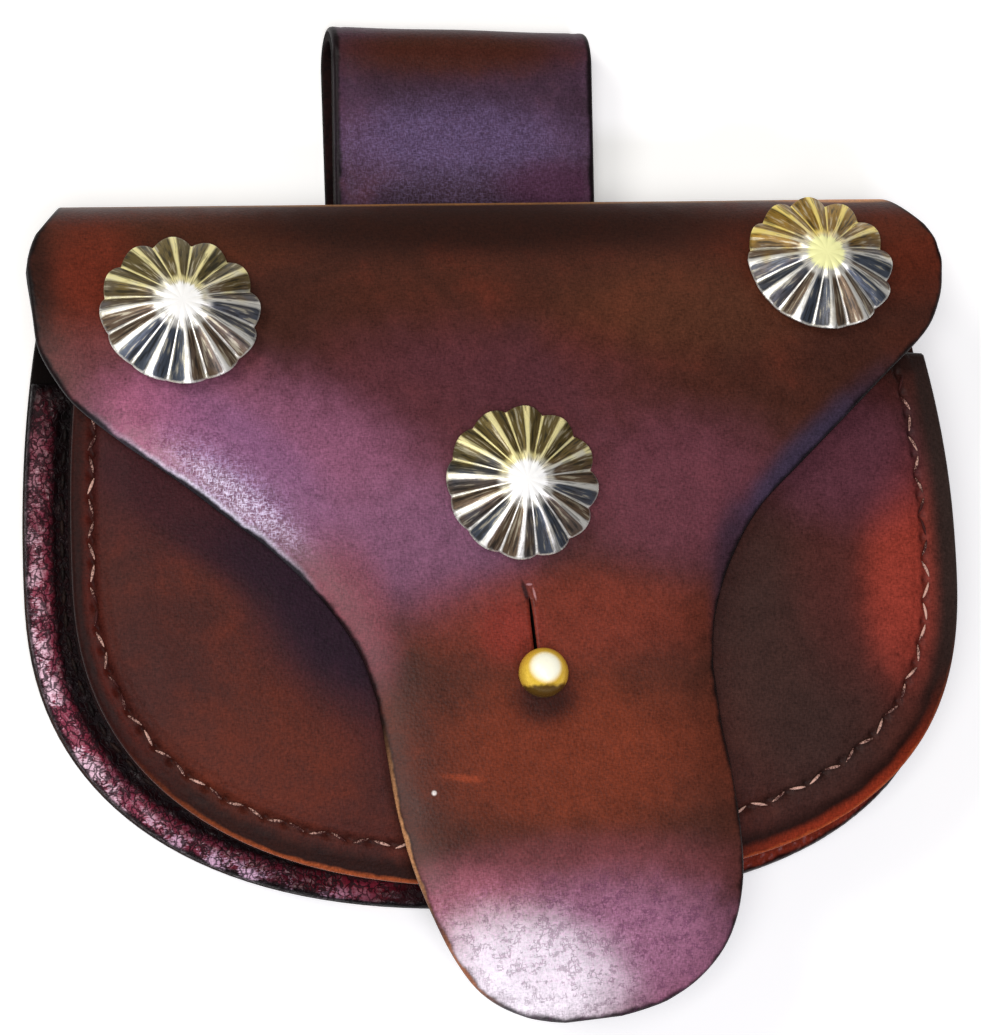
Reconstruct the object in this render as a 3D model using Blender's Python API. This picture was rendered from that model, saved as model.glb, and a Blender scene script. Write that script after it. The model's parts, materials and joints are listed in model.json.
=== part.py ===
"""Leather belt bag: a D-shaped pouch with a gusset, a long tongued flap, a belt loop and metal studs.

Sizes are in metres. The bag is drawn in its own frame: X across, Y up towards the belt loop and Z out of
the front, with the top of the fold at Y = 0 and the rear face of the back panel at Z = 0. One parent empty
then lays the bag on its back, so that the loop and the lower edge of the back panel rest on Z = 0.
"""

import math

import bmesh
import bpy
from mathutils import Matrix, Vector

# Leather
HIDE = 0.0028
PANEL_HIDE = 0.0026
GUSSET_HIDE = 0.0020
STRAP_HIDE = 0.0025
SEAT_GAP = 0.0003

# Front panel
FRONT_HALF_WIDTH = 0.0740
MOUTH_NARROWING = 0.0025
MOUTH_DROP = 0.0280
WAIST_DROP = 0.0620
FRONT_FOOT_DROP = 0.1142
FOOT_ROUNDNESS_LEFT = 2.38
FOOT_ROUNDNESS_RIGHT = 2.66
FLARE_ROUNDNESS = 2.2
FRONT_LEVEL = 0.0280
MOUTH_DIP = 0.0037
PANEL_BULGE = 0.0026
RIM_DIP = 0.0020
SIDE_STITCH_MARGIN = 0.0046
FOOT_STITCH_MARGIN = 0.0068

# Back panel and gusset
BACK_SIDE_MARGIN = 0.0053
BACK_FOOT_MARGIN = 0.0036
WALL_BEHIND_STITCH = 0.0022

# Fold and flap
FOLD_NARROWING = 0.0031
FOLD_SHIFT = -0.0020
FOLD_RADIUS = 0.0105
SHOULDER_RADIUS = 0.0850
FRONT_ANGLE = math.radians(1.0)
FLAP_CLEARANCE = 0.0017
FLAP_LENGTH = 0.1364
TAPER_LENGTH = 0.0821
EAR_OVERHANG = 0.0028
TONGUE_HALF_WIDTH = 0.0280
EDGE_DROOP = 0.0034
EDGE_SHARPNESS = 8
TIP_DROOP = 0.0040
TIP_RUN = 0.0280
FLAP_TURN = math.radians(4.0)
TURN_PIVOT_DROP = 0.0528
TURN_RUN = 0.0140

# Belt loop
LOOP_WIDTH = 0.0455
LOOP_RISE = 0.0337
LOOP_FOOT_DROP = 0.0600
LOOP_SEAM_LENGTH = 0.0260
LOOP_STAND_OFF = 0.0006
LOOP_SHIFT = -0.0010
LOOP_TURN = math.radians(-1.7)

# Studs
CONCHO_RADIUS = 0.0127
CONCHO_HEIGHT = 0.0050
CONCHO_METAL = 0.0010
FLUTES = 12
FLUTE_DEPTH = 0.0014
SCALLOP = 0.0008
POST_RADIUS = 0.0020
POST_CLEARANCE = 0.0003
STUD_GAP = 0.0005
SCREW_HEAD_RADIUS = 0.0040
SCREW_HEAD_THICKNESS = 0.0010
BALL_RADIUS = 0.0040
BALL_DROP = 0.0806
BALL_SHIFT = -0.0008
STUD_BASE_RADIUS = 0.0048
STUD_BASE_THICKNESS = 0.0010
STUD_NECK_RADIUS = 0.0020
BUTTONHOLE_CLEARANCE = 0.0008
SLIT_LENGTH = 0.0100
SLIT_WIDTH = 0.0009

# Widths that line up with the front panel's
FOLD_HALF_WIDTH = FRONT_HALF_WIDTH - FOLD_NARROWING
EAR_HALF_WIDTH = FRONT_HALF_WIDTH + EAR_OVERHANG
BUTTONHOLE_RADIUS = STUD_NECK_RADIUS + BUTTONHOLE_CLEARANCE

# Where the fluted studs sit on the flap: across as a share of the ears' half width, and down from the fold
# as a share of the taper
CONCHO_SEATS = {
    "left": {"across": -0.698, "down": 0.2156},
    "centre": {"across": -0.026, "down": 0.6054},
    "right": {"across": 0.7135, "down": 0.2095},
}

# Flap outline from the fold to the tongue: how far down the taper, then how far out each edge lies between
# the tongue's half width (0) and the ears' (1), and the share of the edge droop
TAPER_ROWS = (
    {"down": 0.134, "left": 1.000, "right": 0.995, "droop": 0.45},
    {"down": 0.195, "left": 1.002, "right": 1.003, "droop": 0.70},
    {"down": 0.244, "left": 0.992, "right": 0.998, "droop": 0.90},
    {"down": 0.298, "left": 0.955, "right": 0.982, "droop": 0.95},
    {"down": 0.360, "left": 0.898, "right": 0.912, "droop": 0.85},
    {"down": 0.441, "left": 0.766, "right": 0.736, "droop": 0.70},
    {"down": 0.525, "left": 0.602, "right": 0.553, "droop": 0.56},
    {"down": 0.607, "left": 0.453, "right": 0.375, "droop": 0.48},
    {"down": 0.689, "left": 0.303, "right": 0.207, "droop": 0.44},
    {"down": 0.795, "left": 0.158, "right": 0.076, "droop": 0.42},
    {"down": 0.900, "left": 0.061, "right": 0.000, "droop": 0.40},
    {"down": 1.000, "left": 0.020, "right": -0.029, "droop": 0.36},
)

# The tongue: how far from the taper's end to the tip, then each edge as a share of the tongue's half width
TONGUE_ROWS = (
    {"down": 0.176, "left": 1.014, "right": 0.957, "droop": 0.33},
    {"down": 0.322, "left": 0.996, "right": 0.982, "droop": 0.33},
    {"down": 0.493, "left": 0.943, "right": 0.993, "droop": 0.33},
    {"down": 0.650, "left": 0.850, "right": 0.971, "droop": 0.36},
    {"down": 0.790, "left": 0.730, "right": 0.880, "droop": 0.40},
    {"down": 0.890, "left": 0.595, "right": 0.720, "droop": 0.26},
    {"down": 0.962, "left": 0.390, "right": 0.490, "droop": 0.06},
    {"down": 1.000, "left": 0.150, "right": 0.190, "droop": 0.00},
)

# Where the flap's columns stand between its middle and its edge
FLAP_COLUMNS = (-1.0, -0.93, -0.83, -0.68, -0.48, -0.24, 0.0, 0.24, 0.48, 0.68, 0.83, 0.93, 1.0)

# Front panel rings: stitch margins in from the edge, then the share of the way on to the middle, and the
# height as a share of the rim's dip (below 0) or of the bulge (above 0)
PANEL_RINGS = (
    {"margins": 0.0, "inward": 0.00, "height": -1.00},
    {"margins": 1.0, "inward": 0.00, "height": 0.00},
    {"margins": 2.0, "inward": 0.00, "height": 0.45},
    {"margins": 2.0, "inward": 0.16, "height": 0.80},
    {"margins": 2.0, "inward": 0.36, "height": 1.00},
    {"margins": 2.0, "inward": 0.70, "height": 1.00},
    {"margins": 2.0, "inward": 1.00, "height": 1.00},
)

# Gusset section from the back panel round the wall to the rim: the outline that the row leans to, how far it
# reaches from the wall to that outline, and its height between the two flanges
GUSSET_ROWS = (
    {"outline": "back", "reach": 1.00, "height": 0.00},
    {"outline": "back", "reach": 0.55, "height": 0.00},
    {"outline": "back", "reach": 0.20, "height": 0.00},
    {"outline": "back", "reach": 0.04, "height": 0.08},
    {"outline": "back", "reach": 0.00, "height": 0.26},
    {"outline": "front", "reach": 0.00, "height": 0.78},
    {"outline": "front", "reach": 0.07, "height": 0.94},
    {"outline": "front", "reach": 0.26, "height": 1.00},
    {"outline": "front", "reach": 1.00, "height": 1.00},
)

# Concho rings: radius and height as shares of the dome, and the share of the flutes' depth
CONCHO_RINGS = (
    {"radius": 0.16, "height": 0.99, "flute": 0.20},
    {"radius": 0.45, "height": 0.87, "flute": 0.60},
    {"radius": 0.75, "height": 0.60, "flute": 0.90},
    {"radius": 1.00, "height": 0.28, "flute": 1.00},
)

SIDE_STEPS = 4
FOOT_STEPS = 22
FOLD_STEPS = 7
LOOP_STEPS = 10
FLUTE_STEPS = 3
TURNED_SIDES = 20
BALL_STEPS = 7
MERGE_DISTANCE = 1e-6
SHARP_ANGLE = math.radians(40)
CUTTER_LENGTH = 4 * HIDE

LEATHER_COLOUR = (0.165, 0.045, 0.030, 1.0)
GUSSET_COLOUR = (0.130, 0.022, 0.028, 1.0)
LOOP_COLOUR = (0.120, 0.045, 0.050, 1.0)
SILVER_COLOUR = (0.800, 0.770, 0.680, 1.0)
BRASS_COLOUR = (0.850, 0.620, 0.200, 1.0)
STEEL_COLOUR = (0.550, 0.550, 0.540, 1.0)


def lerp(start, end, share):
    """The value that lies a share of the way from start to end."""
    return start + (end - start) * share


def smooth_step(share):
    """A share eased at both ends and held between 0 and 1."""
    held = min(max(share, 0.0), 1.0)
    return held * held * (3.0 - 2.0 * held)


def clear_scene():
    """Removes every object of the starting scene."""
    for thing in list(bpy.data.objects):
        bpy.data.objects.remove(thing, do_unlink=True)


def finish_material(name, colour, roughness, metallic=0.0):
    """A plain surface with one colour, roughness and metallic value."""
    material = bpy.data.materials.new(name)
    material.use_nodes = True
    shader = material.node_tree.nodes["Principled BSDF"]
    shader.inputs["Base Color"].default_value = colour
    shader.inputs["Roughness"].default_value = roughness
    shader.inputs["Metallic"].default_value = metallic
    return material


def place_mesh(name, shape, material, parent):
    """Turns a bmesh into a named object under the parent and shades its round stretches smooth."""
    bmesh.ops.remove_doubles(shape, verts=shape.verts, dist=MERGE_DISTANCE)
    bmesh.ops.recalc_face_normals(shape, faces=shape.faces)
    mesh = bpy.data.meshes.new(name)
    shape.to_mesh(mesh)
    shape.free()
    mesh.shade_smooth()
    mesh.set_sharp_from_angle(angle=SHARP_ANGLE)
    thing = bpy.data.objects.new(name, mesh)
    thing.parent = parent
    if material is not None:
        mesh.materials.append(material)
    bpy.context.scene.collection.objects.link(thing)
    return thing


def grid_shape(rows, closed=False):
    """Joins rows of points of equal length with quads; closed rows run round to their first point."""
    shape = bmesh.new()
    lines = [[shape.verts.new(point) for point in row] for row in rows]
    width = len(lines[0])
    for lower, upper in zip(lines, lines[1:]):
        for index in range(width if closed else width - 1):
            beside = (index + 1) % width
            shape.faces.new((lower[index], lower[beside], upper[beside], upper[index]))
    return shape


def thicken(thing, thickness):
    """Gives a sheet its thickness, half to each side of the drawn surface."""
    wall = thing.modifiers.new("hide", "SOLIDIFY")
    wall.thickness = thickness
    wall.offset = 0.0
    wall.use_even_offset = True


def turned_shape(profile, sides=TURNED_SIDES):
    """A closed round body from a profile of (radius, height) that starts and ends on the axis."""
    shape = bmesh.new()
    points = [shape.verts.new((radius, 0.0, height)) for radius, height in profile]
    edges = [shape.edges.new(pair) for pair in zip(points, points[1:])]
    bmesh.ops.spin(
        shape,
        geom=points + edges,
        cent=(0, 0, 0),
        axis=(0, 0, 1),
        angle=math.tau,
        steps=sides,
        use_merge=True,
    )
    return shape


def table_value(rows, column, position):
    """A smooth curve through one column of a table of rows, read at a position of its down column."""
    places = [row["down"] for row in rows]
    values = [row[column] for row in rows]
    last = len(rows) - 1
    index = max(0, min(last - 1, sum(place <= position for place in places) - 1))

    def slope(at):
        """The column's slope at one row, from the rows on either side."""
        low, high = max(at - 1, 0), min(at + 1, last)
        return (values[high] - values[low]) / (places[high] - places[low])

    span = places[index + 1] - places[index]
    share = (position - places[index]) / span
    start_weight = 2 * share**3 - 3 * share**2 + 1
    start_pull = share**3 - 2 * share**2 + share
    end_pull = share**3 - share**2
    return (
        start_weight * values[index]
        + (1 - start_weight) * values[index + 1]
        + start_pull * span * slope(index)
        + end_pull * span * slope(index + 1)
    )


def pouch_side(half_width, mouth_half_width, top_drop, share):
    """One point of the pouch's side: share runs from the top down to the waist."""
    drop = lerp(top_drop, WAIST_DROP, share)
    rise = 1.0 - share
    return lerp(half_width, mouth_half_width, rise**FLARE_ROUNDNESS), -drop


def pouch_foot(half_width, foot_drop, angle):
    """One point of the round foot: the angle runs from 0 at the right waist to half a turn at the left."""
    power = 2.0 / (FOOT_ROUNDNESS_RIGHT if math.cos(angle) > 0 else FOOT_ROUNDNESS_LEFT)
    across = math.copysign(abs(math.cos(angle)) ** power, math.cos(angle)) * half_width
    down = abs(math.sin(angle)) ** power * (foot_drop - WAIST_DROP)
    return across, -WAIST_DROP - down


def pouch_line(half_width, mouth_half_width, top_drop, foot_drop):
    """The D-shaped line from the left end of the mouth round the foot to its right end."""
    side = [
        pouch_side(half_width, mouth_half_width, top_drop, step / SIDE_STEPS) for step in range(SIDE_STEPS)
    ]
    foot = [
        pouch_foot(half_width, foot_drop, math.pi * (1 - step / FOOT_STEPS)) for step in range(FOOT_STEPS + 1)
    ]
    return [(-x, y) for x, y in side] + foot + side[::-1]


def front_line(side_inset=0.0, foot_inset=0.0):
    """The front panel's outline, moved in by an inset at the sides and another at the foot."""
    return pouch_line(
        FRONT_HALF_WIDTH - side_inset,
        FRONT_HALF_WIDTH - MOUTH_NARROWING - side_inset,
        MOUTH_DROP,
        FRONT_FOOT_DROP - foot_inset,
    )


def back_half_width_at_mouth():
    """How wide the back panel is level with the pouch's mouth."""
    rise = (WAIST_DROP - MOUTH_DROP) / WAIST_DROP
    return lerp(FRONT_HALF_WIDTH + BACK_SIDE_MARGIN, FOLD_HALF_WIDTH, rise**FLARE_ROUNDNESS)


def back_line():
    """The part of the back panel's outline that the gusset follows."""
    return pouch_line(
        FRONT_HALF_WIDTH + BACK_SIDE_MARGIN,
        back_half_width_at_mouth(),
        MOUTH_DROP,
        FRONT_FOOT_DROP + BACK_FOOT_MARGIN,
    )


def wall_line():
    """The line that the gusset's wall follows, inside the stitching."""
    return front_line(SIDE_STITCH_MARGIN + WALL_BEHIND_STITCH, FOOT_STITCH_MARGIN + WALL_BEHIND_STITCH)


def front_height(drop):
    """Height of the front panel's outer face along its stitching, lower towards the mouth."""
    rise = max(0.0, (WAIST_DROP - drop) / (WAIST_DROP - MOUTH_DROP))
    return FRONT_LEVEL - MOUTH_DIP * rise**2


def fold_point(angle):
    """(Y, Z) of the leather's middle round the fold, from the back panel (0) over the top."""
    centre_y = -(FOLD_RADIUS + HIDE / 2)
    centre_z = FOLD_RADIUS + HIDE / 2
    return centre_y + FOLD_RADIUS * math.sin(angle), centre_z - FOLD_RADIUS * math.cos(angle)


def panel_face_height():
    """Height of the front panel's outer face at its middle, where the ball stud stands."""
    return FRONT_LEVEL + PANEL_BULGE


def shoulder_angle():
    """How steeply the shoulder starts, so that it levels out a clearance above the front panel."""
    level = panel_face_height() + FLAP_CLEARANCE + HIDE / 2
    fold_middle = FOLD_RADIUS + HIDE / 2
    cosine = (fold_middle + SHOULDER_RADIUS * math.cos(FRONT_ANGLE) - level) / (SHOULDER_RADIUS - FOLD_RADIUS)
    return math.acos(cosine)


def shoulder_start():
    """(Y, Z) where the fold ends and the flap's shoulder begins."""
    return fold_point(math.pi - shoulder_angle())


def cover_height(y):
    """Height of the flap's middle surface at Y: a round shoulder, then nearly straight down the front."""
    start_y, start_z = shoulder_start()
    start_angle = shoulder_angle()
    sine = math.sin(start_angle) - (start_y - y) / SHOULDER_RADIUS
    if sine > math.sin(FRONT_ANGLE):
        angle = math.asin(min(sine, 1.0))
        return start_z + SHOULDER_RADIUS * (math.cos(angle) - math.cos(start_angle))
    run = SHOULDER_RADIUS * (math.sin(start_angle) - math.sin(FRONT_ANGLE))
    climb = SHOULDER_RADIUS * (math.cos(FRONT_ANGLE) - math.cos(start_angle))
    return start_z + climb + (start_y - run - y) * math.tan(FRONT_ANGLE)


def flap_row(drop):
    """(left, right, droop) of the flap at a distance down its middle line."""
    if drop <= TAPER_LENGTH:
        share = max(drop / TAPER_LENGTH, TAPER_ROWS[0]["down"])
        left, right, droop = (table_value(TAPER_ROWS, name, share) for name in ("left", "right", "droop"))
        ears = smooth_step(drop / (TAPER_ROWS[0]["down"] * TAPER_LENGTH))
        left = lerp(TONGUE_HALF_WIDTH, EAR_HALF_WIDTH, left)
        right = lerp(TONGUE_HALF_WIDTH, EAR_HALF_WIDTH, right)
        return lerp(FOLD_HALF_WIDTH, left, ears), lerp(FOLD_HALF_WIDTH, right, ears), droop
    start = dict(TAPER_ROWS[-1], down=0.0)
    for name in ("left", "right"):
        start[name] = lerp(TONGUE_HALF_WIDTH, EAR_HALF_WIDTH, start[name]) / TONGUE_HALF_WIDTH
    rows = (start,) + TONGUE_ROWS
    share = (drop - TAPER_LENGTH) / (FLAP_LENGTH - TAPER_LENGTH)
    left, right, droop = (table_value(rows, name, share) for name in ("left", "right", "droop"))
    return left * TONGUE_HALF_WIDTH, right * TONGUE_HALF_WIDTH, droop


def flap_point(across, drop):
    """The flap's middle surface at a distance across and down its own middle line."""
    left, right, droop = flap_row(drop)
    side = min(1.0, abs(across) / (right if across > 0 else left))
    fold_end = -shoulder_start()[0]
    turned = smooth_step((drop - fold_end) / TURN_RUN)
    below_pivot = drop - TURN_PIVOT_DROP
    turned_x = across * math.cos(FLAP_TURN) + below_pivot * math.sin(FLAP_TURN)
    turned_y = -TURN_PIVOT_DROP + across * math.sin(FLAP_TURN) - below_pivot * math.cos(FLAP_TURN)
    x = lerp(across + FOLD_SHIFT, turned_x, turned)
    y = lerp(-drop, turned_y, turned)
    tip = max(0.0, (drop - FLAP_LENGTH + TIP_RUN) / TIP_RUN)
    sag = EDGE_DROOP * droop * side**EDGE_SHARPNESS * turned + TIP_DROOP * tip**2
    return Vector((x, y, cover_height(y) - sag))


def flap_seat(across, drop, step):
    """A matrix on the flap's middle surface whose Z axis is normal to a patch that reaches a step each way."""
    centre = flap_point(across, drop)
    along_x = flap_point(across + step, drop) - flap_point(across - step, drop)
    along_y = flap_point(across, drop - step) - flap_point(across, drop + step)
    normal = along_x.cross(along_y).normalized()
    along_x = along_y.cross(normal).normalized()
    along_y = normal.cross(along_x)
    turn = Matrix((along_x, along_y, normal)).transposed().to_4x4()
    return Matrix.Translation(centre) @ turn


def back_rows():
    """Rows of the flat back panel from its foot up to the start of the fold."""
    half_width = FRONT_HALF_WIDTH + BACK_SIDE_MARGIN
    foot_drop = FRONT_FOOT_DROP + BACK_FOOT_MARGIN
    edges = []
    for step in range(FOOT_STEPS // 2 + 1):
        angle = math.pi / 2 * (1 - step / (FOOT_STEPS // 2))
        edges.append([pouch_foot(half_width, foot_drop, turn) for turn in (math.pi - angle, angle)])
    fold_start = -fold_point(0.0)[0]
    for step in range(1, SIDE_STEPS + 1):
        drop = lerp(WAIST_DROP, fold_start, step / SIDE_STEPS)
        rise = (WAIST_DROP - drop) / WAIST_DROP
        reach = lerp(half_width, FOLD_HALF_WIDTH, rise**FLARE_ROUNDNESS)
        edges.append([(-reach, -drop), (reach, -drop)])
    rows = []
    for left, right in edges:
        shares = [(column + 1) / 2 for column in FLAP_COLUMNS]
        ends = Vector((*left, HIDE / 2)), Vector((*right, HIDE / 2))
        rows.append([ends[0].lerp(ends[1], share) for share in shares])
    return rows


def fold_rows():
    """Rows round the fold, between the back panel's top and the flap's shoulder."""
    start_width = back_rows()[-1][-1].x
    left, right, _ = flap_row(-shoulder_start()[0])
    rows = []
    for step in range(1, FOLD_STEPS + 1):
        y, z = fold_point((math.pi - shoulder_angle()) * step / FOLD_STEPS)
        share = smooth_step(2 * step / FOLD_STEPS)
        fade = smooth_step(2 * step / FOLD_STEPS - 1)
        narrow = lerp(start_width, FOLD_HALF_WIDTH, share)
        left_end, right_end = lerp(narrow, left, fade), lerp(narrow, right, fade)
        shift = FOLD_SHIFT * share
        reaches = [column * (right_end if column > 0 else left_end) for column in FLAP_COLUMNS]
        rows.append([Vector((reach + shift, y, z)) for reach in reaches])
    return rows


def flap_drops():
    """Distances down the flap at which it has a row: each table row and the middle between two rows."""
    marks = [-shoulder_start()[0]]
    marks += [row["down"] * TAPER_LENGTH for row in TAPER_ROWS]
    marks += [lerp(TAPER_LENGTH, FLAP_LENGTH, row["down"]) for row in TONGUE_ROWS]
    drops = []
    for low, high in zip(marks, marks[1:]):
        drops += [lerp(low, high, 0.5), high]
    return drops


def flap_rows():
    """Rows of the flap from the shoulder to the tip of the tongue."""
    rows = []
    for drop in flap_drops():
        left, right, _ = flap_row(drop)
        rows.append([flap_point(column * (right if column > 0 else left), drop) for column in FLAP_COLUMNS])
    return rows


def concho_seat(place):
    """A concho's place: the middle of the leather under it, with Z standing out of the flap."""
    share = CONCHO_SEATS[place]
    return flap_seat(share["across"] * EAR_HALF_WIDTH, share["down"] * TAPER_LENGTH, CONCHO_RADIUS)


def post_cutter(name, seat, radius, parent):
    """A round cutter that stands across the leather at a seat."""
    shape = bmesh.new()
    bmesh.ops.create_cone(
        shape, cap_ends=True, segments=TURNED_SIDES, radius1=radius, radius2=radius, depth=CUTTER_LENGTH
    )
    cutter = place_mesh(name, shape, None, parent)
    cutter.matrix_local = seat
    cutter.hide_render = True
    cutter.display_type = "WIRE"
    return cutter


def buttonhole_cutter(parent):
    """A keyhole-shaped cutter: a round hole for the ball stud's neck with a slit above it."""
    half_slit = SLIT_WIDTH / 2
    start = math.asin(half_slit / BUTTONHOLE_RADIUS)
    sweep = math.tau - 2 * start
    angles = [math.pi / 2 + start + sweep * step / TURNED_SIDES for step in range(TURNED_SIDES + 1)]
    outline = [(BUTTONHOLE_RADIUS * math.cos(a), BUTTONHOLE_RADIUS * math.sin(a)) for a in angles]
    slit_top = BUTTONHOLE_RADIUS + SLIT_LENGTH
    outline += [(half_slit, slit_top), (-half_slit, slit_top)]
    shape = bmesh.new()
    face = shape.faces.new([shape.verts.new((x, y, -CUTTER_LENGTH / 2)) for x, y in outline])
    pushed = bmesh.ops.extrude_face_region(shape, geom=[face])["geom"]
    corners = [item for item in pushed if isinstance(item, bmesh.types.BMVert)]
    bmesh.ops.translate(shape, verts=corners, vec=(0, 0, CUTTER_LENGTH))
    cutter = place_mesh("buttonhole_cutter", shape, None, parent)
    cutter.matrix_local = ball_seat()
    cutter.hide_render = True
    cutter.display_type = "WIRE"
    return cutter


def ball_seat():
    """The buttonhole's place: on the flap, straight over the stud on the front panel."""
    below_pivot = BALL_DROP - TURN_PIVOT_DROP
    across = BALL_SHIFT * math.cos(FLAP_TURN) - below_pivot * math.sin(FLAP_TURN)
    down = TURN_PIVOT_DROP + below_pivot * math.cos(FLAP_TURN) + BALL_SHIFT * math.sin(FLAP_TURN)
    return flap_seat(across, down, BALL_RADIUS)


def cut(thing, cutter):
    """Takes the cutter's shape out of a thing."""
    hole = thing.modifiers.new(cutter.name, "BOOLEAN")
    hole.operation = "DIFFERENCE"
    hole.solver = "EXACT"
    hole.object = cutter


def make_back_flap(material, parent):
    """Back panel, fold, flap and tongue in one piece of leather, with its holes."""
    thing = place_mesh("back_flap", grid_shape(back_rows() + fold_rows() + flap_rows()), material, parent)
    thicken(thing, HIDE)
    cut(thing, buttonhole_cutter(parent))
    for place in CONCHO_SEATS:
        cutter_radius = POST_RADIUS + POST_CLEARANCE
        cut(thing, post_cutter(f"post_cutter_{place}", concho_seat(place), cutter_radius, parent))
    return thing


def panel_ring(ring):
    """One ring of the front panel's outer face, from the left of the mouth round to the right."""
    side_inset = ring["margins"] * SIDE_STITCH_MARGIN
    foot_inset = ring["margins"] * FOOT_STITCH_MARGIN
    line = front_line(side_inset, foot_inset)
    inward = 1.0 - ring["inward"]
    lift = ring["height"] * (RIM_DIP if ring["height"] < 0 else PANEL_BULGE)
    points = []
    for x, y in line:
        below_waist = min(0.0, y + WAIST_DROP)
        above_waist = max(0.0, y + WAIST_DROP)
        drawn_y = -WAIST_DROP + above_waist + below_waist * inward
        points.append(Vector((x * inward, drawn_y, front_height(-drawn_y) + lift - PANEL_HIDE / 2)))
    return points


def make_front_panel(material, parent):
    """The front panel: a bulged face inside the stitching and a rim that leans back outside it."""
    thing = place_mesh("front_panel", grid_shape([panel_ring(ring) for ring in PANEL_RINGS]), material, parent)
    thicken(thing, PANEL_HIDE)
    seat = Matrix.Translation((BALL_SHIFT, -BALL_DROP, panel_face_height() - PANEL_HIDE / 2))
    cut(thing, post_cutter("stud_cutter", seat, POST_RADIUS + POST_CLEARANCE, parent))
    return thing


def gusset_height(row, drop, is_rim):
    """Height of a gusset row's middle surface at a distance down from the fold."""
    low = HIDE + SEAT_GAP + GUSSET_HIDE / 2
    slant = math.atan2(RIM_DIP, SIDE_STITCH_MARGIN)
    stack = (PANEL_HIDE + GUSSET_HIDE) / 2 + SEAT_GAP
    high = front_height(drop) - PANEL_HIDE / 2 - stack / math.cos(slant)
    return lerp(low, high, row["height"]) - (RIM_DIP if is_rim else 0.0)


def make_gusset(material, parent):
    """The gusset: a wall round the pouch with a flange on the back panel and one under the rim."""
    outlines = {"back": back_line(), "front": front_line()}
    wall = wall_line()
    rows = []
    for row in GUSSET_ROWS:
        is_rim = row["outline"] == "front" and row["reach"] == 1.0
        points = []
        for inner, outer in zip(wall, outlines[row["outline"]]):
            x = lerp(inner[0], outer[0], row["reach"])
            y = lerp(inner[1], outer[1], row["reach"])
            points.append(Vector((x, y, gusset_height(row, -y, is_rim))))
        rows.append(points)
    thing = place_mesh("gusset", grid_shape(rows), material, parent)
    thicken(thing, GUSSET_HIDE)
    return thing


def loop_slope():
    """Angle between the loop's rear leg and the back panel, which is also how far the bag leans."""
    stack = 2 * (SEAT_GAP + STRAP_HIDE)
    return math.atan2(stack, FRONT_FOOT_DROP + BACK_FOOT_MARGIN - LOOP_FOOT_DROP)


def loop_line():
    """(Y, Z) of the strap's middle: up behind the back panel, over the top and down the rear leg."""
    slope = loop_slope()
    sewn_z = -(SEAT_GAP + STRAP_HIDE / 2)
    rear_z = sewn_z - SEAT_GAP - STRAP_HIDE
    front_z = sewn_z - LOOP_STAND_OFF
    top = LOOP_RISE - STRAP_HIDE / 2
    opening = front_z - rear_z + (LOOP_FOOT_DROP + top) * math.tan(slope)
    radius = opening / (1 + 1 / math.cos(slope) + math.tan(slope))
    centre_y, centre_z = top - radius, front_z - radius
    line = [(-LOOP_FOOT_DROP, sewn_z), (LOOP_SEAM_LENGTH - LOOP_FOOT_DROP, front_z)]
    for step in range(LOOP_STEPS + 1):
        angle = (math.pi + slope) * step / LOOP_STEPS
        line.append((centre_y + radius * math.sin(angle), centre_z + radius * math.cos(angle)))
    line.append((-LOOP_FOOT_DROP, rear_z))
    return line


def make_belt_loop(material, parent):
    """The belt loop: one strap folded over at the top, its two ends stacked behind the back panel."""
    half = LOOP_WIDTH / 2
    rear_normal = Vector((0.0, math.sin(loop_slope()), math.cos(loop_slope())))
    turn = Matrix.Rotation(LOOP_TURN, 3, rear_normal)
    shift = Vector((LOOP_SHIFT, 0.0, 0.0))
    rows = [[shift + turn @ Vector((side * half, y, z)) for side in (-1, 0, 1)] for y, z in loop_line()]
    thing = place_mesh("belt_loop", grid_shape(rows), material, parent)
    thicken(thing, STRAP_HIDE)
    return thing


def concho_ring(ring, under=False):
    """One ring of a concho: the fluted face, or the smooth hollow under it."""
    count = FLUTES * FLUTE_STEPS
    rim = CONCHO_RADIUS - SCALLOP
    points = []
    for index in range(count):
        angle = math.tau * index / count
        wave = abs(math.cos(FLUTES / 2 * angle))
        radius = ring["radius"] * (rim + SCALLOP * wave * ring["radius"])
        height = ring["height"] * CONCHO_HEIGHT - FLUTE_DEPTH * ring["flute"] * (1.0 - wave)
        if under:
            radius = ring["radius"] * (rim - CONCHO_METAL)
            height = ring["height"] * CONCHO_HEIGHT - CONCHO_METAL - FLUTE_DEPTH * ring["flute"]
        points.append(Vector((radius * math.cos(angle), radius * math.sin(angle), max(height, 0.0))))
    return points


def level_ring(radius, height):
    """A plain ring with as many points as a concho's."""
    count = FLUTES * FLUTE_STEPS
    angles = [math.tau * index / count for index in range(count)]
    return [Vector((radius * math.cos(angle), radius * math.sin(angle), height)) for angle in angles]


def concho_shape():
    """A domed, fluted disc with a hollow underside and a short post, closed all round."""
    post_foot = -(HIDE + STUD_GAP)
    ceiling = CONCHO_HEIGHT - CONCHO_METAL - FLUTE_DEPTH
    rows = [level_ring(0.0, CONCHO_HEIGHT)]
    rows += [concho_ring(ring) for ring in CONCHO_RINGS]
    rows += [concho_ring(dict(CONCHO_RINGS[-1], height=0.0, flute=0.0))]
    rows += [level_ring(CONCHO_RADIUS - SCALLOP - CONCHO_METAL, 0.0)]
    rows += [concho_ring(ring, under=True) for ring in CONCHO_RINGS[-2:0:-1]]
    rows += [level_ring(POST_RADIUS, ceiling), level_ring(POST_RADIUS, post_foot), level_ring(0.0, post_foot)]
    return grid_shape(rows, closed=True)


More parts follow.
